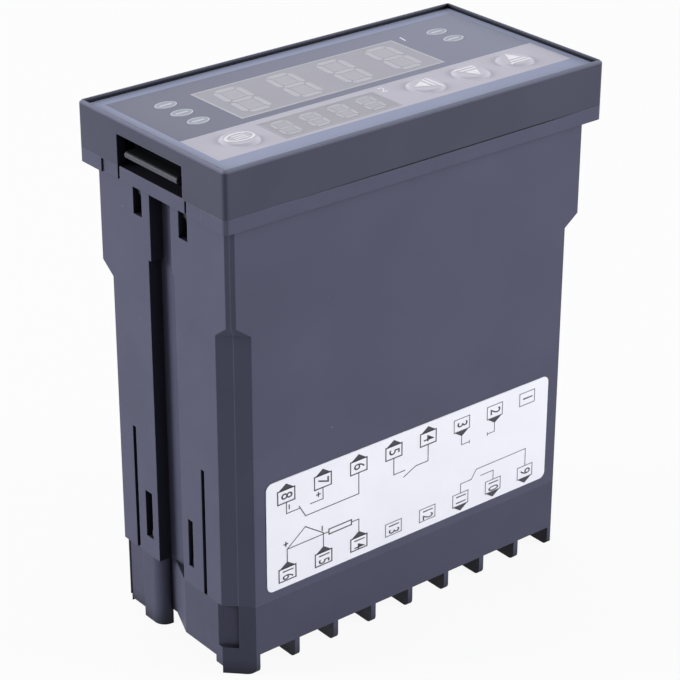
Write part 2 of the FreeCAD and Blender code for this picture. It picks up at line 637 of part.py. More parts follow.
repeat(block, fins, "barriers", "(terminals - 2) * terminal_pitch", "terminals - 1")
plan = sketch_on(block, "XY_Plane", "terminal_plan", "block_floor")
stem_x = "(fork_wide / 2 + stem_slack)"
stem_y = "(stem / 2 + stem_slack)"
for sign in ("", "-"):
    rectangle(plan, FIRST_BAY + " - screw_hole", FIRST_BAY + " + screw_hole",
              "%sscrew_at - screw_hole" % sign, "%sscrew_at + screw_hole" % sign)
    rectangle(plan, "%s - %s" % (FIRST_BAY, stem_x), "%s + %s" % (FIRST_BAY, stem_x),
              "%sboard_at - %s" % (sign, stem_y), "%sboard_at + %s" % (sign, stem_y))
holes = pocket(block, plan, "terminal_holes", "block_floor - bay_floor")
repeat(block, holes, "all_terminal_holes", "(terminals - 1) * terminal_pitch", "terminals")
plan = sketch_on(block, "XY_Plane", "tongue_plan", "block_floor")
inner_x = "(%s - seat_gap)" % INSIDE_X
inner_y = "(%s - seat_gap)" % INSIDE_Y
rectangle(plan, "-tongue_half", "tongue_half", inner_y + " - tongue", inner_y)
rectangle(plan, "-tongue_half", "tongue_half", "-" + inner_y, "tongue - " + inner_y)
four_corners(plan, inner_x + " - tongue", inner_x, BULGE_Y + " + seat_gap", "tongue_end")
pad(block, plan, "tongues", "tongue_top - block_floor")
doc.recompute()
for sign, name in (("", "front"), ("-", "rear")):
    middle = "((nose_in + nose_out) / 2)"
    face = sketch_on(block, "XZ_Plane", "nose_side_" + name, sign + middle)
    low = "(catch_bottom + seat_gap)"
    for x_sign in ("", "-"):
        outline(face, (
            (x_sign + inner_x, low), ("%s(%s + nose)" % (x_sign, inner_x), low),
            ("%s(%s + nose)" % (x_sign, inner_x), low + " + nose_flat"),
            (x_sign + inner_x, low + " + nose_high")))
    pad(block, face, "noses_" + name, "nose_out - nose_in", both=True)
    doc.recompute()


def barrier_tips(edge):
    """The lower edges of the barriers and posts, along X, at the outer face and at the middle strip."""
    room = edge.BoundBox
    flat = room.ZMax < CLOSE and room.YLength < CLOSE
    return flat and min(abs(abs(room.Center.y) - value(end)) for end in (FACE_Y, "bay_inner")) < CLOSE


def post_corner(edge):
    room = edge.BoundBox
    at_face = abs(abs(room.Center.x) - value(FACE_X)) < CLOSE
    at_channel = abs(room.Center.y - value("channel_half")) < CLOSE
    return at_face and at_channel and room.ZLength > value("bay_floor")


round_edges(block, "barrier_round", "fin_round", barrier_tips)
round_edges(block, "channel_post_round", "post_round", post_corner)

# Wiring label on the long face.
label = new_body("wiring_label")
face = sketch_on(label, "XZ_Plane", "label_face", FACE_Y)
rectangle(face, "-label_long / 2", "label_long / 2", "label_bottom", "label_bottom + label_high")
pad(label, face, "paper", "label_thick")


def label_corner(edge):
    return edge.BoundBox.YLength > edge.BoundBox.XLength + edge.BoundBox.ZLength


round_edges(label, "paper_corners", "label_round", label_corner)

# Front frame: rim, shelf with its openings, latch openings, cheeks for the latches and board posts.
frame = new_body("front_frame")
plan = sketch_on(frame, "XY_Plane", "frame_plan", FLANGE_TOP)
rectangle(plan, "-" + half, half, "-" + depth, depth)
pad(frame, plan, "block", "bezel_height")
round_edges(frame, "frame_corners", "round_corner", vertical_at("front_long / 2", "front_short / 2"))


def at_top(edge):
    return edge.BoundBox.ZMin > value(TOP) - CLOSE


round_edges(frame, "rim_bevel", "rim_edge", at_top, "Chamfer", "Size")
plan = sketch_on(frame, "XY_Plane", "recess_plan", TOP)
rectangle(plan, "rim - " + half, half + " - rim", "rim - " + depth, depth + " - rim")
pocket(frame, plan, "film_recess", "rim_deep + film_thick")
plan = sketch_on(frame, "XY_Plane", "hollow_plan", SHELF_BOTTOM)
rectangle(plan, "frame_wall - " + half, half + " - frame_wall",
          "frame_wall - " + depth, depth + " - frame_wall")
pocket(frame, plan, "hollow", SHELF_BOTTOM + " - " + FLANGE_TOP)
plan = sketch_on(frame, "XY_Plane", "latch_opening_plan", TOP + " - opening_drop")
both_sides(plan, half + " - opening_deep", half + " + spare", "-opening_half", "opening_half")
pocket(frame, plan, "latch_openings", "bezel_height - opening_drop + spare")
plan = sketch_on(frame, "XY_Plane", "cheek_plan", CHEEK_BOTTOM)
cheek_out = "(%s - cheek_gap)" % INSIDE_X
four_corners(plan, cheek_out + " - cheek_long", cheek_out, "cheek_in", "cheek_in + cheek")
pad(frame, plan, "cheeks", SHELF_BOTTOM + " - " + CHEEK_BOTTOM)
doc.recompute()
plan = sketch_on(frame, "XY_Plane", "screen_plan", FLANGE_TOP + " + screen_gap")
screen_out = "(%s - screen_in)" % FACE_X
both_sides(plan, screen_out + " - screen_thick", screen_out, "-screen_half", "screen_half")
pad(frame, plan, "screens", "%s - %s - screen_gap" % (SHELF_BOTTOM, FLANGE_TOP))
doc.recompute()
plan = sketch_on(frame, "XY_Plane", "board_post_plan", BOARD_FACE)
four_corners(plan, "post_x - post / 2", "post_x + post / 2", "post_y - post / 2", "post_y + post / 2")
pad(frame, plan, "board_posts", SHELF_BOTTOM + " - " + BOARD_FACE)
face = sketch_on(frame, "XZ_Plane", "pivot_face")
circle(face, PIVOT_X, PIVOT_UP, "pivot + pivot_slack")
circle(face, "-" + PIVOT_X, PIVOT_UP, "pivot + pivot_slack")
pocket(frame, face, "pivot_bores", "2 * board_at", both=True)

LAMPS = (
    ("lamp_out_1", "-lamp_x", "lamp_y"),
    ("lamp_out_2", "-lamp_x", "(lamp_y - lamp_pitch)"),
    ("lamp_tune", "-lamp_x", "(lamp_y - 2 * lamp_pitch)"),
    ("lamp_alarm_1", "lamp_x", "lamp_y"),
    ("lamp_alarm_2", "lamp_x", "(lamp_y - lamp_pitch)"),
)
KEYS = (
    ("key_set", "key_set_x"),
    ("key_shift", "(key_up_x - 2 * key_pitch)"),
    ("key_down", "(key_up_x - key_pitch)"),
    ("key_up", "key_up_x"),
)
WINDOWS = (("pv", "pv_x", "pv_y", "pv_long", "pv_short"), ("sv", "sv_x", "sv_y", "sv_long", "sv_short"))
LAMP_REACH = "(lamp_long - lamp_short) / 2"


def openings(sketch):
    """Display windows, lamps and keys, the same through the shelf and the film."""
    for name, x, y, long, short in WINDOWS:
        rectangle(sketch, "%s - %s / 2" % (x, long), "%s + %s / 2" % (x, long),
                  "%s - %s / 2" % (y, short), "%s + %s / 2" % (y, short))
    for name, x, y in LAMPS:
        oval(sketch, x, y, LAMP_REACH, "lamp_short / 2")
    for name, x in KEYS:
        circle(sketch, x, "key_y", "key_radius + key_slack")


plan = sketch_on(frame, "XY_Plane", "shelf_openings", SHELF_TOP)
openings(plan)
pocket(frame, plan, "front_openings", "shelf")

# Printed film in the rim.
film = new_body("front_film")
plan = sketch_on(film, "XY_Plane", "film_plan", SHELF_TOP)
edge_x = "(%s - rim - film_slack)" % half
edge_y = "(%s - rim - film_slack)" % depth
rectangle(plan, "-" + edge_x, edge_x, "-" + edge_y, edge_y)
pad(film, plan, "film_sheet", "film_thick")
plan = sketch_on(film, "XY_Plane", "film_openings", FILM_TOP)
openings(plan)
pocket(film, plan, "film_cuts", "film_thick")

# Filters in the film and the display modules that carry them.
for name, x, y, long, short in WINDOWS:
    slack = "window_slack"
    low_x = "%s - %s / 2 + %s" % (x, long, slack)
    low_y = "%s - %s / 2 + %s" % (y, short, slack)
    box(name + "_filter", (low_x, low_y, SHELF_TOP),
        ("%s - 2 * %s" % (long, slack), "%s - 2 * %s" % (short, slack), "filter_thick"))
    slack = "module_slack"
    low_x = "%s - %s / 2 + %s" % (x, long, slack)
    low_y = "%s - %s / 2 + %s" % (y, short, slack)
    box(name + "_display", (low_x, low_y, BOARD_FACE),
        ("%s - 2 * %s" % (long, slack), "%s - 2 * %s" % (short, slack), "%s - %s" % (SHELF_TOP, BOARD_FACE)))

# Oval light pipes.
for name, x, y in LAMPS:
    lamp = new_body(name)
    plan = sketch_on(lamp, "XY_Plane", name + "_plan", BOARD_FACE)
    oval(plan, x, y, LAMP_REACH, "lamp_short / 2 - lamp_slack")
    pad(lamp, plan, name + "_pipe", FILM_TOP + " - " + BOARD_FACE)

# Keys with their switches. Each key is one turned profile, set on its place by the body's placement.
SWITCH_TOP = "(%s + switch_high)" % BOARD_FACE
STEM_END = "(%s - stem_in)" % SWITCH_TOP
FLANGE_UP = "(%s - key_rest_gap)" % SHELF_BOTTOM
KEY_TOP = "(%s + key_proud)" % FILM_TOP
KEY_EDGE = "(%s + key_shoulder)" % FILM_TOP
FLANGE_LOW = "(%s - flange_high)" % FLANGE_UP
for number, (name, x) in enumerate(KEYS, start=1):
    key = new_body(name)
    key.setExpression("Placement.Base.x", bound(x))
    key.setExpression("Placement.Base.y", bound("key_y"))
    profile = sketch_on(key, "XZ_Plane", name + "_profile")
    outline(profile, (
        ("0", KEY_TOP), ("0", STEM_END), ("key_stem", STEM_END), ("key_stem", FLANGE_LOW),
        ("key_flange", FLANGE_LOW), ("key_flange", FLANGE_UP), ("key_radius", FLANGE_UP),
        ("key_radius", KEY_EDGE),
        ("key_slope", KEY_TOP + " - key_slope_drop"), ("key_crown", KEY_TOP)))
    turned = key.newObject("PartDesign::Revolution", name + "_turned")
    turned.Profile = profile
    turned.ReferenceAxis = (profile, ["V_Axis"])
    turned.Angle = "360 deg"
    doc.recompute()
    switch_low = (x + " - switch_wide / 2", "key_y - switch_wide / 2", BOARD_FACE)
    switch = box("switch_block_%d" % number, switch_low, ("switch_wide", "switch_wide", "switch_high"))
    bore = rod("switch_bore_%d" % number, (x, "key_y", STEM_END + " - bore_spare"), "key_stem + stem_bore",
               "stem_in + bore_spare")
    cut("key_switch_%d" % number, switch, bore)

# Display board, seated on the posts of the frame.
box("display_board", ("-front_board_long / 2", "-front_board_short / 2", BOARD_UNDER),
    ("front_board_long", "front_board_short", "board_thick"))

# Long boards and the parts on them.
board_reach = BOARD_UNDER + " - board_gap - board_bottom"
for name, middle in (("power_board", "board_at"), ("control_board", "-board_at")):
    low = middle + " - board_thick / 2"
    box(name, ("-board_half", low, "board_bottom"), ("2 * board_half", "board_thick", board_reach))
INNER = "(board_at - board_thick / 2)"
header_low = BOARD_UNDER + " - header_high"
header = ("header_long", "header_deep", "header_high")
box("header_power", ("-header_long / 2", INNER + " - header_deep", header_low), header)
box("header_control", ("-header_long / 2", "-" + INNER, header_low), header)
coil_mid = "(%s - coil_deep / 2)" % INNER
core_x = "(transformer_x - core_long / 2)"
core_y = "(%s - core_deep / 2)" % coil_mid
core_z = "(transformer_at - core_high / 2)"
core = box("core_block", (core_x, core_y, core_z), ("core_long", "core_deep", "core_high"))
core_window = box("core_window", (core_x + " + limb", core_y, core_z + " + limb"),
                  ("core_long - 2 * limb", "core_deep", "core_high - 2 * limb"))
cut("transformer_core", core, core_window)
inset_coil = "(limb + coil_slack)"
box("transformer_coil",
    ("%s + %s" % (core_x, inset_coil), INNER + " - coil_deep", "%s + %s" % (core_z, inset_coil)),
    ("core_long - 2 * " + inset_coil, "coil_deep", "core_high - 2 * " + inset_coil))
rod("main_capacitor", ("can_x", INNER + " - can_radius", "can_at"), "can_radius", "can_long")
relay = ("relay_long", "relay_deep", "relay_wide")
box("output_relay", ("relay_1_x - relay_long / 2", INNER + " - relay_deep", "relay_at"), relay)
box("alarm_relay", ("relay_2_x - relay_long / 2", "-" + INNER, "relay_2_at"), relay)
box("processor_chip", ("chip_x - chip_wide / 2", "-" + INNER, "chip_at - chip_wide / 2"),
    ("chip_wide", "chip_thick", "chip_wide"))

# Latches: one bar, two arms with hook noses, pins in the cheeks of the frame.
BAR_OUT = "(front_long / 2 - bar_in)"
BAR_BACK = "(%s - bar_deep)" % BAR_OUT
BAR_LOW = "(%s + bar_up)" % FLANGE_TOP
BAR_HIGH = "(%s + bar_high)" % BAR_LOW
WEB_LOW = "(%s + (bar_high - web) / 2)" % BAR_LOW
WEB_HIGH = "(%s + web)" % WEB_LOW
ARM_OUT = "(%s - arm_inset)" % FACE_X
ARM_BACK = "(%s - arm_thick)" % ARM_OUT
HOOK_OUT = "(%s - hook_inset)" % FACE_X
HOOK_MID = "(%s - hook_nose)" % HOOK_TOP
HOOK_LOW = "(%s - hook_ramp)" % HOOK_MID
LATCH = (
    (ARM_BACK, PIVOT_UP), (ARM_OUT, PIVOT_UP), (ARM_OUT, HOOK_LOW), (HOOK_OUT, HOOK_MID),
    (HOOK_OUT, HOOK_TOP), (ARM_OUT, HOOK_TOP), (ARM_OUT, WEB_LOW), (BAR_BACK, WEB_LOW),
    (BAR_BACK, BAR_LOW), (BAR_OUT, BAR_LOW), (BAR_OUT, BAR_HIGH), (BAR_BACK, BAR_HIGH),
    (BAR_BACK, WEB_HIGH), (ARM_BACK, WEB_HIGH))


def bar_edges(edge):
    room = edge.BoundBox
    long = room.YLength > value("bar_half")
    return long and abs(abs(room.Center.x) - value(BAR_OUT)) < CLOSE


for name, sign in (("latch_left", "-"), ("latch_right", "")):
    latch = new_body(name)
    face = sketch_on(latch, "XZ_Plane", name + "_face")
    outline(face, [(sign + x, y) for x, y in LATCH])
    pad(latch, face, name + "_profile", "2 * bar_half", both=True)
    doc.recompute()
    face = sketch_on(latch, "XZ_Plane", name + "_boss_face")
    circle(face, sign + PIVOT_X, PIVOT_UP, "boss")
    pad(latch, face, name + "_boss", "2 * bar_half", both=True)
    doc.recompute()
    face = sketch_on(latch, "XZ_Plane", name + "_pin_face")
    circle(face, sign + PIVOT_X, PIVOT_UP, "pivot")
    pad(latch, face, name + "_pin", "2 * opening_half", both=True)
    doc.recompute()
    face = sketch_on(latch, "XZ_Plane", name + "_middle_face")
    middle_in = "%s(%s - boss - spare)" % (sign, PIVOT_X)
    middle_out = "%s(%s + spare)" % (sign, BAR_BACK)
    outline(face, (
        (middle_in, CHEEK_BOTTOM), (middle_out, CHEEK_BOTTOM), (middle_out, HOOK_TOP + " + spare"),
        (sign + ARM_OUT, WEB_LOW), (middle_in, WEB_LOW)))
    pocket(latch, face, name + "_middle", "2 * arm_near", both=True)
    round_edges(latch, name + "_bar", "bar_round", bar_edges)

# Contacts: clamping plate in the bay, stem through the floor, fork that grips the board.
number = 0
plates = []
LEAF = "(board_thick / 2 + fork_gap)"
REACH = "(%s + fork_leaf)" % LEAF
BAYS = range(int(value("terminals")))


def across(sign, low, high):
    """The low corner of a stretch from low to high, on the +Y or on the -Y side."""
    return low if sign == "" else "-(%s)" % high


for sign in ("", "-"):
    for bay in BAYS:
        number += 1
        name = "terminal_contact_%02d" % number
        x = "(%s + %d * terminal_pitch)" % (FIRST_BAY, bay)
        fork_x = x + " - fork_wide / 2"
        low_y = across(sign, "plate_in", "plate_out")
        base = box(name + "_plate", (x + " - plate_wide / 2", low_y, PLATE_BOTTOM),
                   ("plate_wide", "plate_out - plate_in", "plate_thick"))
        low_y = across(sign, "board_at - stem / 2", "board_at + stem / 2")
        stem_part = box(name + "_stem", (fork_x, low_y, PLATE_BOTTOM),
                        ("fork_wide", "stem", "fork_bottom + stem - " + PLATE_BOTTOM))
        low_y = across(sign, "board_at - " + REACH, "board_at + " + REACH)
        bridge = box(name + "_bridge", (fork_x, low_y, "fork_bottom"), ("fork_wide", "2 * " + REACH, "stem"))
        low_y = across(sign, "board_at - " + REACH, "board_at - " + LEAF)
        inner = box(name + "_inner_leaf", (fork_x, low_y, "fork_bottom"),
                    ("fork_wide", "fork_leaf", "fork_top - fork_bottom"))
        low_y = across(sign, "board_at + " + LEAF, "board_at + " + REACH)
        outer = box(name + "_outer_leaf", (fork_x, low_y, "fork_bottom"),
                    ("fork_wide", "fork_leaf", "fork_top - fork_bottom"))
        joined(name, base, stem_part, bridge, inner, outer)
        low_y = across(sign, "screw_at - washer_wide / 2", "screw_at + washer_wide / 2")
        plates.append(box(name + "_clamp", (x + " - washer_wide / 2", low_y, WASHER_BOTTOM),
                          ("washer_wide", "washer_wide", "washer_thick")))
joined("clamp_washers", *plates)
doc.recompute()

NODES = ["case_shell", "terminal_block", "wiring_label", "front_frame", "front_film"]
NODES += ["pv_filter", "sv_filter", "pv_display", "sv_display", "display_board"]
NODES += ["power_board", "control_board", "header_power", "header_control", "transformer_core"]
NODES += ["transformer_coil", "main_capacitor", "output_relay", "alarm_relay", "processor_chip"]
NODES += ["latch_left", "latch_right", "clamp_washers"]
NODES += [name for name, x, y in LAMPS]
NODES += [name for name, x in KEYS]
NODES += ["key_switch_%d" % (number + 1) for number in range(len(KEYS))]
NODES += ["terminal_contact_%02d" % (number + 1) for number in range(2 * len(BAYS))]

for item in doc.Objects:
    if "Invalid" in item.State or "Error" in item.State:
        raise RuntimeError("%s is not valid" % item.Name)
for name in NODES:
    shape = doc.getObject(name).Shape
    if shape.isNull() or not shape.isValid() or not shape.Solids:
        raise RuntimeError("%s has no valid solid" % name)

os.makedirs("parts", exist_ok=True)
for name in NODES:
    item = doc.getObject(name)
    item.Label = name
    item.Shape.exportStep("parts/%s.step" % name)
    room = item.Shape.BoundBox
    low = "x %8.2f  y %8.2f  z %8.2f" % (room.XMin, room.YMin, room.ZMin)
    high = "x %8.2f  y %8.2f  z %8.2f" % (room.XMax, room.YMax, room.ZMax)
    print("%-22s solids %2d  from %s  to %s" % (name, len(item.Shape.Solids), low, high))
print("nodes", len(NODES))
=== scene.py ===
# %% [markdown]
# # A panel-mount temperature controller
# The controller stands on its rear terminal barriers with its front facing up. Its solids come from the
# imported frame. This lesson gives them moulded, printed and plated finishes, and adds what is too thin or too
# small for a solid: the print on the label and the film, the marks on the keys, the digits in the windows,
# the screws and the small parts on the circuit boards.

# %% Load the frame
import math

import bmesh
import bpy
from mathutils import Matrix, Vector


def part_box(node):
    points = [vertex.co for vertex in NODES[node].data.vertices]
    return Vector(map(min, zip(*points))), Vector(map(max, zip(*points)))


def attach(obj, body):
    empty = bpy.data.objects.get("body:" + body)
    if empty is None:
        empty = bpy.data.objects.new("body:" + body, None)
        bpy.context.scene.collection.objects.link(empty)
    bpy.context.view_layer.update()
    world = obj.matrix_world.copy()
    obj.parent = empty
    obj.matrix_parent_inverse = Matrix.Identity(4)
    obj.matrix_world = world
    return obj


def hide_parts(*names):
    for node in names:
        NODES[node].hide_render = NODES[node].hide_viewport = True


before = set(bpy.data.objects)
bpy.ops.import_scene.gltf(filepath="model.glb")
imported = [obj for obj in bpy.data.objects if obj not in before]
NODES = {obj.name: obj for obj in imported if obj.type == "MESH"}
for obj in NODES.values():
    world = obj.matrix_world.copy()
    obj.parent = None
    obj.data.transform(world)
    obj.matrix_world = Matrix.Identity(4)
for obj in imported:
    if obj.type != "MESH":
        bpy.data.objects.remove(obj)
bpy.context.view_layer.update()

MM = 0.001

# %% [markdown]
# ## Colours and node helpers
# Colours are written as they look on screen, from 0 to 255, and turned to the linear values that shaders
# use. Each finish is a small node tree. The helper keeps the tree, its shader and its Object coordinates, so
# that a finish reads as a short list of steps.

# %% A small bench for node trees
def screen(red, green, blue):
    """A screen colour as linear red, green, blue and alpha."""
    linear = []
    for level in (red, green, blue):
        share = level / 255
        linear.append(share / 12.92 if share <= 0.04045 else ((share + 0.055) / 1.055) ** 2.4)
    return (*linear, 1.0)


def toned(colour, share):
    """A linear colour made darker or lighter by a share."""
    return (*(level * share for level in colour[:3]), 1.0)


class Finish:
    """One procedural material: add() makes a node, link() joins two sockets."""

    def __init__(self, name):
        self.material = bpy.data.materials.new(name)
        self.material.use_nodes = True
        self.tree = self.material.node_tree
        self.shader = self.tree.nodes["Principled BSDF"]
        self.place = self.add("ShaderNodeTexCoord").outputs["Object"]

    def add(self, kind, **settings):
        node = self.tree.nodes.new(kind)
        for key, setting in settings.items():
            setattr(node, key, setting)
        return node

    def link(self, source, target):
        self.tree.links.new(source, target)

    def math(self, operation, first, second=None):
        """An arithmetic node on sockets or numbers."""
        node = self.add("ShaderNodeMath", operation=operation)
        for socket, source in zip(node.inputs, (first, second)):
            if isinstance(source, (int, float)):
                socket.default_value = source
            elif source is not None:
                self.link(source, socket)
        return node.outputs["Value"]

    def all_of(self, *tests):
        """The product of several masks: 1 where every one is 1."""
        share = tests[0]
        for test in tests[1:]:
            share = self.math("MULTIPLY", share, test)
        return share

    def dot(self, first, second):
        """How far two directions agree."""
        node = self.add("ShaderNodeVectorMath", operation="DOT_PRODUCT")
        self.link(first, node.inputs[0])
        self.link(second, node.inputs[1])
        return node.outputs["Value"]

    def split(self, source):
        """The X, Y and Z of a vector."""
        node = self.add("ShaderNodeSeparateXYZ")
        self.link(source, node.inputs["Vector"])
        return node.outputs

    def facing(self):
        """The direction that the surface faces."""
        return self.add("ShaderNodeNewGeometry").outputs["Normal"]

    def noise(self, size, detail=3.0):
        """Cloudy noise whose blotches are about size metres across."""
        node = self.add("ShaderNodeTexNoise")
        node.inputs["Scale"].default_value = 1 / size
        node.inputs["Detail"].default_value = detail
        self.link(self.place, node.inputs["Vector"])
        return node.outputs["Fac"]

    def ramp(self, source, low, high, first=0.0, second=1.0):
        """source from low to high becomes first to second, and stays there outside."""
        node = self.add("ShaderNodeMapRange", clamp=True)
        for name, setting in (("From Min", low), ("From Max", high), ("To Min", first), ("To Max", second)):
            node.inputs[name].default_value = setting
        self.link(source, node.inputs["Value"])
        return node.outputs["Result"]

    def cloud(self, size, first=0.0, second=1.0, detail=3.0):
        """Noise spread over its full range, from first to second."""
        return self.ramp(self.noise(size, detail), 0.3, 0.7, first, second)

    def mix(self, share, first, second):
        """first where share is 0, second where it is 1. Each is a colour or a socket."""
        node = self.add("ShaderNodeMix", data_type="RGBA")
        for index, source in ((6, first), (7, second)):
            if isinstance(source, tuple):
                node.inputs[index].default_value = source
            else:
                self.link(source, node.inputs[index])
        self.link(share, node.inputs[0])
        return node.outputs[2]

    def bump(self, height, distance, normal=None):
        """Raises the surface by up to distance metres for the light, and hands that to the shader."""
        node = self.add("ShaderNodeBump")
        node.inputs["Distance"].default_value = distance
        node.inputs["Strength"].default_value = 1.0
        self.link(height, node.inputs["Height"])
        if normal:
            self.link(normal, node.inputs["Normal"])
        self.link(node.outputs["Normal"], self.shader.inputs["Normal"])

    def edges(self, radius):
        """(normal of softly rounded edges, mask that is 1 on them)."""
        bevel = self.add("ShaderNodeBevel", samples=6)
        bevel.inputs["Radius"].default_value = radius
        agree = self.dot(bevel.outputs["Normal"], self.facing())
        return bevel.outputs["Normal"], self.ramp(agree, 0.999, 0.93)

    def colour(self, source):
        self.link(source, self.shader.inputs["Base Color"])

    def roughness(self, source):
        self.link(source, self.shader.inputs["Roughness"])

    def set(self, **values):
        for name, setting in values.items():
            self.shader.inputs[name.replace("_", " ")].default_value = setting


print("finish bench ready")

# %% [markdown]
# ## Moulded plastic
# The housing, the block and the front frame are glass-filled plastic from a spark-eroded mould: a fine even
# grain, faint clouds where the melt flowed, and specks of dust. Edges are a little lighter, partly as rubbed
# wear and partly as a painted highlight. Noise of several sizes gives the clouds and the grain, and a Voronoi
# pattern gives the specks. Walls that face the middle line of the housing, and closed-in corners, are darker:
# painted shade. A Bevel node rounds the edges for the light only, so the solids stay as they are.

# %% Moulded plastic
GRAIN, GRAIN_HIGH = 0.22 * MM, 0.016 * MM
CLOUD, EDGE_WEAR_AND_HIGHLIGHT_PATCH, DUST_PATCH, SHEEN_PATCH = 18 * MM, 4 * MM, 3 * MM, 6 * MM
SPECKS_PER_METRE = 330
EDGE, SHADE_REACH, PAINTED_SHADE_TONE = 0.2 * MM, 6 * MM, 0.12
PARTING, PARTING_WIDE = 23.9 * MM, 0.16 * MM
RECESS_FLOOR, RECESS_HALF = 101.5 * MM, 11.5 * MM
RIM_HIGHLIGHT_FROM, RIM_HIGHLIGHT_OVER = 112.1 * MM, 0.4 * MM
JOINT_SHADE_TOP, JOINT_SHADE_SIDE = 103.18 * MM, -23 * MM
JOINT_SHADE_OPENS, JOINT_SHADE_CLOSES = (-35 * MM, -8 * MM), (44 * MM, 32 * MM)


def inward(finish):
    """1 on walls that face the middle line of the housing, 0 on those that face away from it."""
    level = finish.add("ShaderNodeVectorMath", operation="MULTIPLY")
    finish.link(finish.place, level.inputs[0])
    level.inputs[1].default_value = (1.0, 1.0, 0.0)
    return finish.math("LESS_THAN", finish.dot(level.outputs["Vector"], finish.facing()), 0.0)


def upward(finish):
    """1 on surfaces that face up."""
    return finish.math("GREATER_THAN", finish.split(finish.facing())["Z"], 0.5)


def housing_detail(finish, body, spot, edge):
    """A parting line down the corner chamfers, and painted shade on the floors of the latch recesses."""
    far_x, far_y = (finish.math("ABSOLUTE", spot[name]) for name in ("X", "Y"))
    off = finish.math("ABSOLUTE", finish.math("SUBTRACT", finish.math("SUBTRACT", far_x, far_y), PARTING))
    body = finish.mix(finish.ramp(off, PARTING_WIDE, PARTING_WIDE / 2, 0.0, 0.45), body, edge)
    # Painted shade: upward floors of the latch recesses under the front frame are made near black.
    recess_shade = finish.all_of(upward(finish), finish.math("GREATER_THAN", spot["Z"], RECESS_FLOOR),
                           finish.math("LESS_THAN", far_y, RECESS_HALF))
    return finish.mix(recess_shade, body, screen(26, 26, 32))


def bezel_detail(finish, body, spot, edge):
    """A painted highlight on the top of the rim, and painted shade in the joint along the long side."""
    # Painted highlight: the top of the rim is made lighter above a height.
    rim_highlight = finish.ramp(spot["Z"], RIM_HIGHLIGHT_FROM, RIM_HIGHLIGHT_FROM + RIM_HIGHLIGHT_OVER)
    body = finish.mix(rim_highlight, body, screen(112, 115, 133))
    # Painted shade: a thin dark line along the foot of the frame on the long side, fading in and out along X.
    joint_shade = finish.all_of(finish.math("LESS_THAN", spot["Z"], JOINT_SHADE_TOP), finish.ramp(spot["X"], *JOINT_SHADE_OPENS),
                        finish.ramp(spot["X"], *JOINT_SHADE_CLOSES), finish.math("LESS_THAN", spot["Y"], JOINT_SHADE_SIDE))
    return finish.mix(joint_shade, body, screen(22, 22, 30))


def latch_detail(finish, body, spot, edge):
    """The flat on top of the bar is painted dark: painted shade under the roof of the recess."""
    # Painted shade on the faces of the bar that look up.
    return finish.mix(upward(finish), body, screen(30, 30, 35))


def moulded(name, base, edge, roughness=0.5, dust=0.4, edge_wear_and_highlight=0.3, inward_shade=0.3, detail=None):
    """Moulded plastic. inward_shade is the share of its colour that is left on walls that face inwards, as
    painted shade.
    """
    base, edge = screen(*base), screen(*edge)
    finish = Finish(name)
    body = finish.mix(finish.cloud(CLOUD, detail=4.0), toned(base, 0.94), toned(base, 1.05))
    rounded, on_edge = finish.edges(EDGE)
    # Wear and painted highlight: edges are mixed, in patches, towards the lighter edge colour.
    worn_and_lit = finish.math("MULTIPLY", on_edge, finish.ramp(finish.noise(EDGE_WEAR_AND_HIGHLIGHT_PATCH), 0.3, 0.62, 0.1, edge_wear_and_highlight))
    body = finish.mix(worn_and_lit, body, edge)
    # Painted shade: walls that face the middle line are darkened to a share of the base colour.
    body = finish.mix(inward(finish), body, toned(base, inward_shade))
    if detail:
        body = detail(finish, body, finish.split(finish.place), edge)
    specks = finish.add("ShaderNodeTexVoronoi")
    specks.inputs["Scale"].default_value = SPECKS_PER_METRE
    finish.link(finish.place, specks.inputs["Vector"])
    near = finish.ramp(specks.outputs["Distance"], 0.075, 0.03)
    rare = finish.ramp(finish.noise(DUST_PATCH, detail=1.0), 0.64, 0.69, 0.0, dust)
    body = finish.mix(finish.math("MULTIPLY", near, rare), body, screen(170, 170, 184))
    # Painted shade: closed-in corners and recesses, where ambient occlusion is low, are darkened towards a
    # small share of the base colour.
    shade = finish.add("ShaderNodeAmbientOcclusion", samples=8)
    shade.inputs["Distance"].default_value = SHADE_REACH
    open_share = finish.ramp(shade.outputs["AO"], 0.3, 0.84)
    finish.colour(finish.mix(open_share, toned(base, PAINTED_SHADE_TONE), body))
    finish.roughness(finish.cloud(SHEEN_PATCH, roughness - 0.05, roughness + 0.07))
    finish.bump(finish.noise(GRAIN, detail=2.0), GRAIN_HIGH, rounded)
    finish.set(Specular_IOR_Level=0.12)
    return finish.material


def paint(material, *names):
    """Gives CAD nodes a finish through their material slots."""
    for name in names:
        slots = NODES[name].data.materials
        slots.clear()
        slots.append(material)


HOUSING = moulded("moulded_housing", (80, 81, 101), (118, 119, 140), detail=housing_detail)
BLOCK = moulded("moulded_block", (73, 74, 93), (108, 109, 130))
BEZEL = moulded("moulded_bezel", (70, 71, 88), (126, 128, 148), roughness=0.46, edge_wear_and_highlight=0.6, inward_shade=0.22,
                detail=bezel_detail)
LATCH = moulded("moulded_latch", (76, 76, 86), (150, 150, 164), roughness=0.42, dust=0.0, edge_wear_and_highlight=0.5,
                detail=latch_detail)
paint(HOUSING, "case_shell")
paint(BLOCK, "terminal_block")
paint(BEZEL, "front_frame")
paint(LATCH, "latch_left", "latch_right")
print("moulded finishes:", HOUSING.name, BLOCK.name, BEZEL.name, LATCH.name)

# %% [markdown]
# ## Printed film
# The front film is one sheet with three printed zones: a pale border, a grey field round the large display
# and a warm strip under the keys. The zones are cut by plain comparisons of the place on the film, which
# stay sharp at any distance. The film itself has a very fine orange peel.

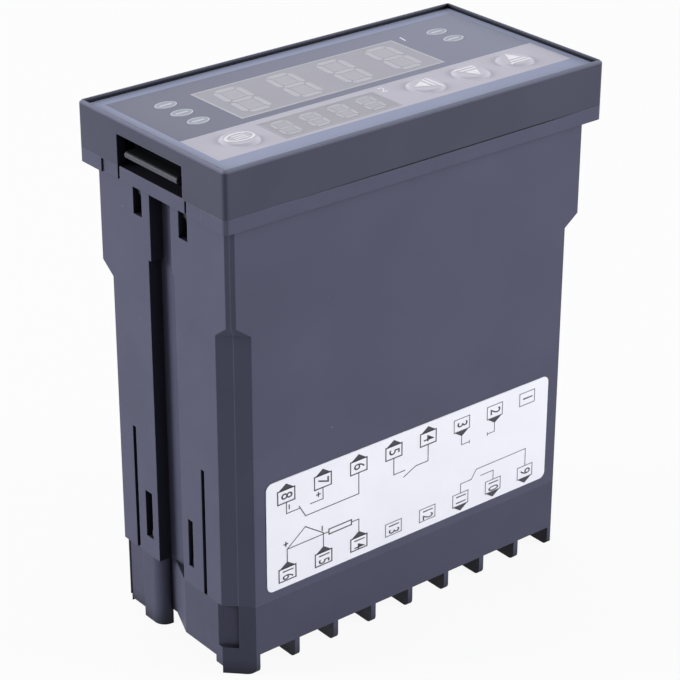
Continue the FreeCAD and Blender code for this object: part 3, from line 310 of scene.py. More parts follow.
# %% Printed film
FIELD_LEFT, FIELD_RIGHT = -44.0 * MM, 45.4 * MM
FIELD_TOP, FIELD_LOW, STRIP_LOW = 20.2 * MM, -4.9 * MM, -17.0 * MM
PEEL, PEEL_HIGH = 0.6 * MM, 0.006 * MM


def zone(finish, spot, low, high):
    """1 on the film between two heights, from one end of the field to the other."""
    return finish.all_of(
        finish.math("GREATER_THAN", spot["X"], FIELD_LEFT), finish.math("LESS_THAN", spot["X"], FIELD_RIGHT),
        finish.math("GREATER_THAN", spot["Y"], low), finish.math("LESS_THAN", spot["Y"], high))


def printed_film():
    finish = Finish("printed_film")
    spot = finish.split(finish.place)
    border = finish.mix(finish.cloud(0.03), screen(137, 144, 169), screen(145, 152, 177))
    across = finish.ramp(spot["X"], FIELD_LEFT, FIELD_RIGHT)
    field = finish.mix(across, screen(115, 117, 134), screen(129, 132, 150))
    band = finish.mix(finish.cloud(0.02), screen(177, 175, 187), screen(183, 181, 193))
    sheet = finish.mix(zone(finish, spot, FIELD_LOW, FIELD_TOP), border, field)
    finish.colour(finish.mix(zone(finish, spot, STRIP_LOW, FIELD_LOW), sheet, band))
    finish.set(Roughness=0.55, Specular_IOR_Level=0.15)
    finish.bump(finish.noise(PEEL, detail=2.0), PEEL_HIGH)
    return finish.material


paint(printed_film(), "front_film")
print("film zones in mm:", [round(edge / MM, 1) for edge in (FIELD_LEFT, FIELD_RIGHT)],
      [round(edge / MM, 1) for edge in (STRIP_LOW, FIELD_LOW, FIELD_TOP)])

# %% [markdown]
# ## Keys, lamps, windows and displays
# The keys have the colour of the strip and the lamps are frosted light pipes. The windows are pale tinted
# panes over grey display modules. They let only a little through, by an alpha that is a plain constant, so
# the digits are laid on them later.

# %% Keys, lamps, windows and displays
KEYS = ("key_set", "key_shift", "key_down", "key_up")
LAMPS = ("lamp_out_1", "lamp_out_2", "lamp_tune", "lamp_alarm_1", "lamp_alarm_2")
AS_PANE = {"size": 0.02, "roughness": 0.48, "alpha": 0.93, "specular": 0.15}


def plain(name, light, dark, size=0.006, roughness=0.5, grain=None, metal=0.0, coat=0.0, alpha=1.0,
          specular=0.5):
    """A plain finish whose colour drifts between two close shades."""
    finish = Finish(name)
    finish.colour(finish.mix(finish.cloud(size), screen(*dark), screen(*light)))
    finish.set(Metallic=metal, Coat_Weight=coat, Alpha=alpha, Specular_IOR_Level=specular)
    finish.roughness(finish.cloud(size / 3, roughness - 0.05, roughness + 0.05))
    if grain:
        finish.bump(finish.noise(grain, detail=2.0), grain / 12)
    return finish.material


KEY = plain("soft_key", (183, 181, 193), (177, 175, 187), roughness=0.42, grain=0.0004)
LAMP = plain("frosted_lamp", (150, 155, 169), (142, 147, 161), size=0.002, grain=0.0002)
PANE = plain("tinted_pane", (167, 166, 177), (163, 162, 173), **AS_PANE)
LOW_PANE = plain("tinted_low_pane", (165, 164, 174), (161, 160, 170), **AS_PANE)
MODULE = plain("display_face", (150, 149, 158), (146, 145, 154), size=0.004)
paint(KEY, *KEYS)
paint(LAMP, *LAMPS)
paint(PANE, "pv_filter")
paint(LOW_PANE, "sv_filter")
paint(MODULE, "pv_display", "sv_display")
print("front finishes:", KEY.name, LAMP.name, PANE.name, LOW_PANE.name, MODULE.name)

# %% [markdown]
# ## Paper, metal, boards and parts inside
# The label is smooth paper. What shows only from behind or with the front drawn out gets its own finish too:
# green lacquered boards with their tracks, plated steel, tinned brass, a stack of core sheets, taped winding
# wire.

# %% Paper, metal, boards and parts inside
TRACKS_PER_METRE, SHEETS_PER_METRE = 125, 600
TRACK_HIGH, SHEET_HIGH = 0.04 * MM, 0.03 * MM


def bands(finish, axis, density):
    """Soft stripes across one axis."""
    wave = finish.add("ShaderNodeTexWave", bands_direction=axis)
    wave.inputs["Scale"].default_value = density
    finish.link(finish.place, wave.inputs["Vector"])
    return wave.outputs["Fac"]


def tracks(finish, axis, patch_size):
    """Fine parallel tracks in patches."""
    line = finish.ramp(bands(finish, axis, TRACKS_PER_METRE), 0.72, 0.8)
    return finish.math("MULTIPLY", line, finish.ramp(finish.noise(patch_size, detail=0.0), 0.54, 0.55))


def board_lacquer():
    """Green lacquer over copper tracks that run one way or the other, a little raised."""
    finish = Finish("board_lacquer")
    track = finish.math("MAXIMUM", tracks(finish, "X", 0.011), tracks(finish, "Z", 0.013))
    finish.colour(finish.mix(track, screen(22, 84, 50), screen(44, 116, 70)))
    finish.bump(track, TRACK_HIGH)
    finish.set(Roughness=0.3, Coat_Weight=0.3)
    return finish.material


def stacked_sheets():
    """The edges of thin steel sheets."""
    finish = Finish("stacked_sheets")
    wave = bands(finish, "Y", SHEETS_PER_METRE)
    finish.colour(finish.mix(wave, screen(70, 70, 74), screen(128, 128, 132)))
    finish.bump(wave, SHEET_HIGH)
    finish.set(Metallic=0.7, Roughness=0.45)
    return finish.material


PAPER = plain("label_paper", (240, 241, 250), (236, 237, 247), size=0.01, roughness=0.6, grain=0.0003)
STEEL = plain("plated_steel", (196, 196, 200), (170, 170, 176), size=0.001, roughness=0.32, metal=1.0)
BRASS = plain("tinned_brass", (214, 186, 128), (190, 160, 104), size=0.002, roughness=0.35, metal=1.0)
BLACK = plain("black_moulding", (34, 34, 36), (26, 26, 28), roughness=0.45, grain=0.0003)
SLEEVE = plain("shrunk_sleeve", (34, 42, 92), (26, 32, 74), size=0.01, roughness=0.3, coat=0.2)
RELAY = plain("relay_cover", (52, 92, 176), (44, 80, 160), size=0.008, roughness=0.3)
TAPE = plain("winding_tape", (226, 186, 60), (208, 168, 48), size=0.003, roughness=0.4, coat=0.2)
CONTACTS = ["terminal_contact_%02d" % number for number in range(1, 17)]
SWITCHES = ["key_switch_%d" % number for number in range(1, 5)]
paint(PAPER, "wiring_label")
paint(STEEL, "clamp_washers")
paint(BRASS, *CONTACTS)
paint(BLACK, "header_power", "header_control", "processor_chip", *SWITCHES)
paint(board_lacquer(), "display_board", "power_board", "control_board")
paint(stacked_sheets(), "transformer_core")
paint(TAPE, "transformer_coil")
paint(SLEEVE, "main_capacitor")
paint(RELAY, "output_relay", "alarm_relay")
print("contacts and switches finished:", len(CONTACTS), len(SWITCHES))

# %% [markdown]
# ## Thin print
# Ink is a skin a few hundredths of a millimetre thick. It is modelled flat on the XY plane in millimetres,
# out of strips and cut shapes, then laid on its surface by one matrix. Keeping it as its own thin mesh keeps
# its edges sharp from any distance.

# %% Helpers for thin print
INK_LIFT, INK_THICK = 0.01 * MM, 0.02 * MM
RING_STEPS = 40
CAP_SHARE, BOLDER = 0.73, 0.01
INK = plain("dark_ink", (58, 58, 68), (48, 48, 58), size=0.002, roughness=0.6)
LIGHT_INK = plain("light_ink", (112, 112, 124), (98, 98, 110), size=0.002, roughness=0.6)
PALE_INK = plain("pale_ink", (226, 224, 232), (216, 214, 224), size=0.002)
RING_INK = plain("ring_ink", (196, 199, 211), (184, 188, 201), size=0.002)
FRAME_INK = plain("frame_ink", (171, 173, 181), (167, 169, 177), size=0.002)
LOW_FRAME_INK = plain("low_frame_ink", (160, 159, 169), (155, 154, 164), size=0.002)


def strip(sheet, start, end, width):
    """A straight bar of ink from start to end, in millimetres."""
    start, end = Vector((*start, 0)), Vector((*end, 0))
    along = end - start
    turn = Matrix.Rotation(math.atan2(along.y, along.x), 4, "Z")
    size = Matrix.Diagonal((along.length, width, 1, 1))
    place = Matrix.Translation((start + end) / 2) @ turn @ size
    bmesh.ops.create_grid(sheet, x_segments=1, y_segments=1, size=0.5, matrix=place)


def path(sheet, points, width):
    """Bars through points, each longer by half its width so that the corners close."""
    for start, end in zip(points, points[1:]):
        along = (Vector(end) - Vector(start)).normalized() * width / 2
        strip(sheet, Vector(start) - along, Vector(end) + along, width)


def frame_of(sheet, middle, wide, high, width):
    """A rectangle drawn with four bars."""
    x, y = middle
    left, right, low, top = x - wide / 2, x + wide / 2, y - high / 2, y + high / 2
    path(sheet, [(left, low), (right, low), (right, top), (left, top), (left, low)], width)


def patch(sheet, corners):
    """A filled shape with straight sides."""
    sheet.faces.new([sheet.verts.new((*corner, 0)) for corner in corners])


def closed_line(sheet, middle, sizes, steps, radius, turn=0.0):
    """A closed line in one piece, bridged between an inner and an outer loop of these sizes."""
    loops = []
    for wide, high in sizes:
        loop = bmesh.ops.create_circle(sheet, segments=steps, radius=radius)["verts"]
        size = Matrix.Diagonal((wide, high, 1, 1)) @ Matrix.Rotation(turn, 4, "Z")
        bmesh.ops.transform(sheet, matrix=Matrix.Translation((*middle, 0)) @ size, verts=loop)
        loops += loop
    bmesh.ops.bridge_loops(sheet, edges=list({edge for vert in loops for edge in vert.link_edges}))


def oval_ring(sheet, middle, wide, high, width):
    sizes = [((wide + grow) / 2, (high + grow) / 2) for grow in (-width, width)]
    closed_line(sheet, middle, sizes, RING_STEPS, 1)


def window_frame(sheet, middle, wide, high, width):
    sizes = [(wide + grow, high + grow) for grow in (-width, width)]
    closed_line(sheet, middle, sizes, 4, math.sqrt(0.5), math.pi / 4)


def lettering(sheet, text, middle, height, turn=0.0, slant=0.0, squeeze=1.0):
    """Text in the plain built-in type, made a mesh and centred on middle. squeeze narrows it."""
    curve = bpy.data.curves.new("type", "FONT")
    curve.body = text
    curve.align_x, curve.align_y = "CENTER", "CENTER"
    curve.size = height / CAP_SHARE
    curve.shear = slant
    curve.offset = BOLDER
    holder = bpy.data.objects.new("type", curve)
    flat = bpy.data.meshes.new_from_object(holder)
    narrow = Matrix.Diagonal((squeeze, 1, 1, 1))
    flat.transform(Matrix.Translation((*middle, 0)) @ Matrix.Rotation(turn, 4, "Z") @ narrow)
    sheet.from_mesh(flat)
    bpy.data.objects.remove(holder)
    bpy.data.meshes.remove(flat)


def finish_piece(name, sheet, material, body):
    """The mesh becomes an object at the origin that rides on a body."""
    mesh = bpy.data.meshes.new(name)
    sheet.to_mesh(mesh)
    sheet.free()
    mesh.materials.append(material)
    piece = bpy.data.objects.new(name, mesh)
    bpy.context.scene.collection.objects.link(piece)
    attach(piece, body)
    return piece


def lay(name, sheet, place, material, body):
    """Lays print with a matrix and gives it its thickness."""
    bmesh.ops.remove_doubles(sheet, verts=sheet.verts, dist=1e-5)
    for face in sheet.faces:
        if face.normal.z < 0:
            face.normal_flip()
    bmesh.ops.transform(sheet, matrix=place, verts=sheet.verts)
    sheet.normal_update()
    piece = finish_piece(name, sheet, material, body)
    thickness = piece.modifiers.new("ink", "SOLIDIFY")
    thickness.thickness = INK_THICK
    thickness.offset = 1


print("print helpers ready")

# %% [markdown]
# ## The wiring label
# The label numbers the sixteen terminals in two rows and draws their circuits: two relay contacts, a sensor,
# a supply. The numbers are turned a quarter, because the controller is wired lying down. It is laid out in
# millimetres on the label, X along it and Y up it, from the middle of the controller's base.

# %% The wiring label: boxes, numbers and pointers
LABEL_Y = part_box("wiring_label")[0].y
LABEL_TILT = math.radians(0.45)
LABEL_FACE = (Matrix.Translation((0, LABEL_Y - INK_LIFT, 0)) @ Matrix.Rotation(math.pi / 2, 4, "X")
              @ Matrix.Rotation(LABEL_TILT, 4, "Z") @ Matrix.Scale(MM, 4))
BOX_PITCH, FIRST_BOX = 9.3, -32.8
BOX_WIDE, BOX_HIGH = 4.3, 2.95
UPPER_ROW, LOWER_ROW = 39.5, 21.4
LINE, THIN_LINE = 0.27, 0.2
QUARTER = -math.pi / 2
NUMBER_HIGH, DIGIT_STEP = 2.9, 1.42
ONE_DIGIT, TWO_DIGITS = 0.78, 0.66
POINT_WIDE, POINT_HIGH = 4.0, 1.35
UP, DOWN, NONE = 1, -1, 0
ROWS = (
    (UPPER_ROW, (8, 7, 6, 5, 4, 3, 2, 1), (UP, UP, UP, UP, UP, DOWN, DOWN, NONE)),
    (LOWER_ROW, (16, 15, 14, 13, 12, 11, 10, 9), (UP, UP, UP, NONE, NONE, DOWN, DOWN, DOWN)),
)


def column(index):
    return FIRST_BOX + BOX_PITCH * index


def pointer(sheet, x, base, way):
    patch(sheet, [(x - POINT_WIDE / 2, base), (x + POINT_WIDE / 2, base), (x, base + way * POINT_HIGH)])


def number_in_box(sheet, number, x, row):
    """The digits of a number below each other, each turned a quarter."""
    text = str(number)
    squeeze = ONE_DIGIT if len(text) == 1 else TWO_DIGITS
    for place, digit in enumerate(text):
        down = ((len(text) - 1) / 2 - place) * DIGIT_STEP
        lettering(sheet, digit, (x, row + down), NUMBER_HIGH, QUARTER, squeeze=squeeze)


dark_print, light_print = bmesh.new(), bmesh.new()
for row, numbers, ways in ROWS:
    for index, (number, way) in enumerate(zip(numbers, ways)):
        x = column(index)
        sheet, width = (dark_print, LINE) if way == UP else (light_print, THIN_LINE)
        frame_of(sheet, (x, row), BOX_WIDE, BOX_HIGH, width)
        number_in_box(dark_print, number, x, row)
        if way:
            pointer(dark_print, x, row + way * BOX_HIGH / 2, way)
print("boxes at x in mm:", [round(column(index), 1) for index in range(8)])

# %% The wiring label: circuits
BOX_LOW, BOX_TOP = UPPER_ROW - BOX_HIGH / 2, LOWER_ROW + BOX_HIGH / 2
TIP_LOW, TIP_TOP = BOX_LOW - POINT_HIGH, BOX_TOP + POINT_HIGH
MINUS, PLUS = False, True


def circuit(sheet, *points):
    path(sheet, points, THIN_LINE)


def sign(sheet, middle, arm, plus):
    """A minus, turned like the numbers, or a plus."""
    x, y = middle
    path(sheet, [(x, y - arm), (x, y + arm)], LINE)
    if plus:
        path(sheet, [(x - arm, y), (x + arm, y)], LINE)


# The output contact, between the first three terminals of the upper row.
OUT_LINE, OUT_RETURN = 35.4, 33.1
OUT_LEFT, OUT_PIVOT, OUT_RIGHT, OUT_BLADE = -29.6, -28.0, -26.7, 0.5
circuit(dark_print, (column(0), BOX_LOW), (column(0), OUT_LINE), (OUT_LEFT, OUT_LINE))
circuit(dark_print, (OUT_LEFT, OUT_LINE + OUT_BLADE), (OUT_PIVOT, OUT_RETURN), (column(2), OUT_RETURN),
        (column(2), BOX_LOW))
circuit(dark_print, (column(1), BOX_LOW), (column(1), OUT_LINE), (OUT_RIGHT, OUT_LINE))

# The first alarm contact, between the next two.
ALARM_LINE, ALARM_END, ALARM_PIVOT = 34.1, -1.9, 1.1
ALARM_BLADE = (-2.2, 32.6)
circuit(dark_print, (column(3), BOX_LOW), (column(3), ALARM_LINE), (ALARM_END, ALARM_LINE))
circuit(dark_print, ALARM_BLADE, (ALARM_PIVOT, ALARM_LINE), (column(4), ALARM_LINE), (column(4), BOX_LOW))

# The two ends of the supply.
SUPPLY_LINE, SUPPLY_END = 34.6, 0.3
for index, reach in ((5, 2.2), (6, -2.0)):
    x = column(index)
    circuit(light_print, (x, TIP_LOW), (x, SUPPLY_LINE), (x + reach, SUPPLY_LINE))
    circuit(light_print, (x + reach, SUPPLY_LINE - SUPPLY_END), (x + reach, SUPPLY_LINE + SUPPLY_END))

# The sensor: two wires joined at a tip, and a resistor beside them.
SENSOR_LINE, SENSOR_STEP, SENSOR_TIP = 27.1, 0.3, (-28.1, 30.6)
RESISTOR_LONG, RESISTOR_HIGH, RESISTOR_X = 5.9, 1.15, -19.1
RESISTOR_LEFT, RESISTOR_RIGHT = RESISTOR_X - RESISTOR_LONG / 2, RESISTOR_X + RESISTOR_LONG / 2
circuit(dark_print, (column(0), TIP_TOP), (column(0), SENSOR_LINE), SENSOR_TIP,
        (column(1), SENSOR_LINE + SENSOR_STEP), (column(1), TIP_TOP))
circuit(dark_print, (column(0), SENSOR_LINE), (RESISTOR_LEFT, SENSOR_LINE))
frame_of(dark_print, (RESISTOR_X, SENSOR_LINE), RESISTOR_LONG, RESISTOR_HIGH, LINE)
circuit(dark_print, (RESISTOR_RIGHT, SENSOR_LINE), (column(2), SENSOR_LINE), (column(2), TIP_TOP))

# The second alarm contact, between the last three terminals of the lower row.
RELAY_LINE, RELAY_TOP = 25.1, 27.1
RELAY_PIVOT, RELAY_TIP, RELAY_END = 16.7, 18.1, 19.4
circuit(light_print, (column(5), BOX_TOP), (column(5), RELAY_LINE), (RELAY_PIVOT, RELAY_LINE),
        (RELAY_TIP, RELAY_TOP), (column(7), RELAY_TOP), (column(7), BOX_TOP))
circuit(light_print, (column(6), BOX_TOP), (column(6), RELAY_LINE), (RELAY_END, RELAY_LINE))

for middle, arm, kind in (((-32.1, 36.7), 0.4, MINUS), ((-24.7, 36.8), 0.45, PLUS),
                          ((-33.1, 28.4), 0.45, PLUS), ((-23.8, 28.5), 0.5, MINUS)):
    sign(dark_print, middle, arm, kind)
lay("label_print", dark_print, LABEL_FACE, INK, "case")
lay("label_light_print", light_print, LABEL_FACE, LIGHT_INK, "case")
print("label laid at y in mm:", round(LABEL_Y / MM, 2))

# %% [markdown]
# ## Digits in the windows
# The unlit segments of a display show as slightly paler bars round slightly darker fields. Each digit has
# seven bars, on a slant. A bar with pointed ends is a six-sided patch. Bars and fields are laid on the pane
# as thin print: under so pale a pane they would hardly show.

# %% Digits in the windows
SEGMENTS = ((0, 1, 0), (0, 0, 0), (0, -1, 0), (-1, 0.5, 1), (1, 0.5, 1), (-1, -0.5, 1), (1, -0.5, 1))
BAR_GAP, FIELD_SIDE, FIELD_END = 0.3, 0.6, 1.2


def on_top(node, lift=0.0, shift=0.0):
    """The place of what is drawn in millimetres, on the middle of the top of a node."""
    low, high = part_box(node)
    x, y = (low.x + high.x) / 2 + shift, (low.y + high.y) / 2
    return Matrix.Translation((x, y, high.z + lift)) @ Matrix.Scale(MM, 4)


def segment(sheet, middle, length, width, upright):
    """A bar with pointed ends."""
    half, side = length / 2, width / 2
    corners = [(-half, 0), (side - half, -side), (half - side, -side), (half, 0), (half - side, side),
               (side - half, side)]
    if upright:
        corners = [(-y, x) for x, y in corners]
    patch(sheet, [(middle[0] + x, middle[1] + y) for x, y in corners])


def digits(name, node, size, bar, pitch, lean, shift, inks):
    """The ghost of four leaning digits: pale segments round slightly darker fields."""
    wide, high = size
    ghost, fields = bmesh.new(), bmesh.new()
    half, tall = wide / 2 - bar * FIELD_SIDE, high / 2 - bar * FIELD_END
    for index in range(4):
        x = (index - 1.5) * pitch
        for side, level, upright in SEGMENTS:
            length = (high / 2 if upright else wide) - bar * BAR_GAP
            segment(ghost, (x + side * wide / 2, level * high / 2), length, bar, upright)
        for level in (-high / 4, high / 4):
            low, top = level - tall / 2, level + tall / 2
            patch(fields, [(x - half, low), (x + half, low), (x + half, top), (x - half, top)])
    slanted = Matrix.Identity(4)
    slanted[0][1] = math.tan(math.radians(lean))
    place = on_top(node, INK_LIFT, shift) @ slanted
    lay(name, ghost, place, inks[0], "chassis")
    lay(name + "_fields", fields, place, inks[1], "chassis")


GHOST = plain("ghost_segment", (172, 171, 182), (169, 168, 179), size=0.004, roughness=0.4)
GHOST_FIELD = plain("ghost_field", (162, 160, 171), (160, 158, 169), size=0.004, roughness=0.4)
LOW_GHOST = plain("low_ghost_segment", (173, 172, 183), (168, 167, 178), size=0.003, roughness=0.4)
LOW_FIELD = plain("low_ghost_field", (160, 159, 170), (157, 156, 167), size=0.003, roughness=0.4)
digits("pv_digits", "pv_filter", (5.5, 12.5), 1.4, 12.87, 4, -0.1 * MM, (GHOST, GHOST_FIELD))
digits("sv_digits", "sv_filter", (3.5, 6.2), 0.8, 6.95, 6, -0.4 * MM, (LOW_GHOST, LOW_FIELD))
print("bars of a digit:", len(SEGMENTS))

# %% [markdown]
# ## Print on the film
# A plain number beside each window, a painted highlight along the top edge of the strip, rings round the lamps
# with a short bar in each, and a thin frame round each window.

# %% Print on the film
FILM_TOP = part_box("front_film")[1].z
FILM_FACE = Matrix.Translation((0, 0, FILM_TOP + INK_LIFT)) @ Matrix.Scale(MM, 4)
FILM_NUMBERS = (("1", (26.0, 13.5)), ("2", (3.2, -7.2)))
FILM_NUMBER_HIGH, FILM_SLANT = 2.5, 0.2
STRIP_GLINT_WIDE = 0.2
RING, RING_OUT = 0.26, 0.05
BAR_HALF, BAR_WIDE = 1.1, 0.55
PANE_FRAME, PANE_FRAME_IN = 0.5, 0.1


def front_of(node):
    """The middle of a node seen from the front, and its width and height, in millimetres."""
    low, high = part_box(node)
    middle = (low.x + high.x) / 2 / MM, (low.y + high.y) / 2 / MM
    return middle, (high.x - low.x) / MM, (high.y - low.y) / MM


film_print = bmesh.new()
for text, middle in FILM_NUMBERS:
    lettering(film_print, text, middle, FILM_NUMBER_HIGH, slant=FILM_SLANT)
lay("film_numbers", film_print, FILM_FACE, PALE_INK, "chassis")
# Painted highlight: a thin pale line in the lamp rings' ink along the top edge of the strip.
strip_edge_glint = bmesh.new()
strip(strip_edge_glint, (FIELD_LEFT / MM, FIELD_LOW / MM), (FIELD_RIGHT / MM, FIELD_LOW / MM), STRIP_GLINT_WIDE)
lay("strip_edge_glint", strip_edge_glint, FILM_FACE, RING_INK, "chassis")
for node in LAMPS:
    middle, wide, high = front_of(node)
    ring = bmesh.new()
    oval_ring(ring, middle, wide + RING_OUT, high + RING_OUT, RING)
    path(ring, [(middle[0] - BAR_HALF, middle[1]), (middle[0] + BAR_HALF, middle[1])], BAR_WIDE)
    lay(node + "_ring", ring, FILM_FACE, RING_INK, "chassis")
for node, ink in (("pv_filter", FRAME_INK), ("sv_filter", LOW_FRAME_INK)):
    middle, wide, high = front_of(node)
    outline = bmesh.new()
    window_frame(outline, middle, wide - PANE_FRAME_IN, high - PANE_FRAME_IN, PANE_FRAME)
    lay(node + "_frame", outline, FILM_FACE, ink, "chassis")
print("film top in mm:", round(FILM_TOP / MM, 2))

# %% [markdown]
# ## Domed keys and their marks
# The keys are soft domes. A facetted dome would show its rings in the light, so each solid key is replaced
# by a spun one of the same size: a few points of the profile, turned a full circle and shaded smooth. How
# far it falls at a radius is one short formula, which the marks follow as well. Each arrow is a triangle
# with slits near its base, cut into small faces and dropped onto the dome. The first key has an oval and
# three bars.

# %% Domed keys
KEY_RADIUS, KEY_FALL = 4.08, 0.63
FLAT_CROWN = 3.0
SPIN_STEPS = 64
ACROSS_DOME = (0.0, 0.4) + tuple(0.72 + 0.035 * step for step in range(9))
SKIRT = 3.2


def fall(radius):
    """How far the dome lies below its top at a radius, in millimetres: flat, then an even S to the film."""
    share = min(max((radius - FLAT_CROWN) / (KEY_RADIUS - FLAT_CROWN), 0.0), 1.0)
    return KEY_FALL * share * share * (3 - 2 * share)


def turned(profile, steps=SPIN_STEPS):
    """A closed turned form from (radius, height) points, in millimetres round the Z axis."""
    form = bmesh.new()
    points = [form.verts.new((radius, 0, height)) for radius, height in profile]
    for start, end in zip(points, points[1:]):
        form.edges.new((start, end))
    bmesh.ops.spin(form, geom=form.verts[:] + form.edges[:], cent=(0, 0, 0), axis=(0, 0, 1),
                   angle=2 * math.pi, steps=steps, use_merge=True)
    bmesh.ops.remove_doubles(form, verts=form.verts, dist=1e-4)
    bmesh.ops.recalc_face_normals(form, faces=form.faces)
    return form


def smooth(piece, angle=40):
    """Smooth shading, with edges sharper than the angle kept crisp."""
    for face in piece.data.polygons:
        face.use_smooth = True
    piece.data.set_sharp_from_angle(angle=math.radians(angle))


def domed_key(node):
    profile = [(KEY_RADIUS * share, -fall(KEY_RADIUS * share)) for share in ACROSS_DOME]
    profile += [(KEY_RADIUS, -SKIRT), (0.0, -SKIRT)]
    dome = turned(profile)
    bmesh.ops.transform(dome, matrix=on_top(node), verts=dome.verts)
    piece = finish_piece(node + "_dome", dome, KEY, node)
    smooth(piece)
    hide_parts(node)


for node in KEYS:
    domed_key(node)
print("keys spun, fall at the edge in mm:", KEY_FALL)

# %% Marks on the keys
ARROW_BASE, ARROW_LONG, ARROW_BALANCE = 5.7, 5.3, 0.42
SLITS = ((0.0, 0.12), (0.19, 0.32), (0.4, 1.0))
KEY_LIFT = 0.035 * MM
FINE_CUT, CUTS = 0.3, 5
OVAL_WIDE, OVAL_HIGH, OVAL_LINE = 6.1, 3.7, 0.5
MARK_HALF, MARK_STEP, MARK_WIDE = 1.5, 0.8, 0.42


def arrow(sheet, turn):
    """A triangle that points along +Y before the turn, in pieces from base to tip."""
    before = len(sheet.verts)
    for near, far in SLITS:
        near_half, far_half = (ARROW_BASE / 2 * (1 - share) for share in (near, far))
        low, high = (ARROW_LONG * (share - ARROW_BALANCE) for share in (near, far))
        corners = [(-near_half, low), (near_half, low), (far_half, high), (-far_half, high)]
        patch(sheet, corners if far < 1 else corners[:2] + [(0, high)])
    sheet.verts.ensure_lookup_table()
    bmesh.ops.rotate(sheet, verts=sheet.verts[before:], cent=(0, 0, 0), matrix=Matrix.Rotation(turn, 3, "Z"))


def drape(node, sheet):
    """Cuts a mark finely, drops it onto the dome of its key and lays it there."""
    bmesh.ops.triangulate(sheet, faces=sheet.faces)
    for _ in range(CUTS):
        long_edges = [edge for edge in sheet.edges if edge.calc_length() > FINE_CUT]
        bmesh.ops.subdivide_edges(sheet, edges=long_edges, cuts=1)
        bmesh.ops.triangulate(sheet, faces=sheet.faces)
    for vert in sheet.verts:
        vert.co.z = -fall(vert.co.length)
    lay(node + "_mark", sheet, on_top(node, KEY_LIFT), PALE_INK, node)


for node, turn in (("key_shift", math.pi / 2), ("key_down", math.pi), ("key_up", 0.0)):
    mark = bmesh.new()
    arrow(mark, turn)
    drape(node, mark)
mark = bmesh.new()
oval_ring(mark, (0, 0), OVAL_WIDE, OVAL_HIGH, OVAL_LINE)
for bar in (-1, 0, 1):
    strip(mark, (-MARK_HALF, bar * MARK_STEP), (MARK_HALF, bar * MARK_STEP), MARK_WIDE)
drape("key_set", mark)
print("key marks draped:", len(KEYS))

# %% [markdown]
# ## Screws
# Sixteen pan-head screws clamp the wires and four smaller ones hold the display board. A head is a disc that
# is inset: two pairs of cuts mark a cross on its middle, the cross is pushed in, and the rim is pulled down
# into the side of the head and then the shank. All screws of one size share a single mesh.

# %% Screws
TERMINAL_SCREW = {"head": 2.75, "head_high": 1.9, "shank": 1.4, "shank_long": 3.6, "cross": 0.75}
BOARD_SCREW = {"head": 1.7, "head_high": 1.1, "shank": 0.8, "shank_long": 1.4, "cross": 0.5}
TERMINAL_PITCH, TERMINAL_ROW, WASHER_LOW = 10.16, 15.4, 8.2
BOARD_CORNER_X, BOARD_CORNER_Y, BOARD_LOW = 36.2, 18.2, 103.0
ROUNDING, ROUNDING_HIGH, CROSS_ROOM, CROSS_REACH, CROSS_DEEP = 0.14, 0.06, 0.2, 0.7, 0.5


def verts_of(geometry):
    """The vertices among what an operator gives back."""
    return [part for part in geometry if isinstance(part, bmesh.types.BMVert)]


def gather(into, form, place):
    """Adds a form, in millimetres, to a larger one."""
    bmesh.ops.transform(form, matrix=Matrix.Scale(MM, 4) @ place, verts=form.verts)
    copy = bpy.data.meshes.new("part")
    form.to_mesh(copy)
    form.free()
    into.from_mesh(copy)
    bpy.data.meshes.remove(copy)


def screw(head, head_high, shank, shank_long, cross):
    """A cross-head screw whose face lies on the XY plane and looks up."""
    form = bmesh.new()
    bmesh.ops.create_circle(form, cap_ends=True, segments=20, radius=head)
    bmesh.ops.inset_region(form, faces=form.faces[:], thickness=head * ROUNDING, depth=head * ROUNDING_HIGH,
                           use_boundary=True)
    middle_face = max(form.faces, key=lambda face: len(face.verts))
    bmesh.ops.inset_region(form, faces=[middle_face], thickness=head * CROSS_ROOM)
    for axis in ((1, 0, 0), (0, 1, 0)):
        for side in (-1, 1):
            bmesh.ops.bisect_plane(form, geom=form.verts[:] + form.edges[:] + form.faces[:],
                                   plane_co=Vector(axis) * side * cross / 2, plane_no=axis)
    marked = []
    for face in form.faces:
        middle = face.calc_center_median()
        in_cross = min(abs(middle.x), abs(middle.y)) < cross / 2 - 0.01
        if in_cross and max(vert.co.xy.length for vert in face.verts) < head * CROSS_REACH:
            marked.append(face)
    pushed = bmesh.ops.extrude_face_region(form, geom=marked)["geom"]
    bmesh.ops.delete(form, geom=marked, context="FACES")
    bmesh.ops.translate(form, vec=(0, 0, -head_high * CROSS_DEEP), verts=verts_of(pushed))
    for size, drop in ((head, head_high), (shank, 0.0), (shank, shank_long)):
        rim = [edge for edge in form.edges if edge.is_boundary]
        for vert in verts_of(bmesh.ops.extrude_edge_only(form, edges=rim)["geom"]):
            vert.co.xy = vert.co.xy.normalized() * size
            vert.co.z -= drop
    bmesh.ops.holes_fill(form, edges=[edge for edge in form.edges if edge.is_boundary])
    bmesh.ops.remove_doubles(form, verts=form.verts, dist=1e-4)
    bmesh.ops.recalc_face_normals(form, faces=form.faces)
    return form


def screws(name, body, size, places):
    """Screws that look down, with the undersides of their heads at these places."""
    group = bmesh.new()
    for x, y, z in places:
        face_down = Matrix.Translation((x, y, z - size["head_high"])) @ Matrix.Rotation(math.pi, 4, "X")
        gather(group, screw(**size), face_down)
    smooth(finish_piece(name, group, STEEL, body), 30)
    print(name, len(places))


def terminal_x(index):
    return (index - 3.5) * TERMINAL_PITCH


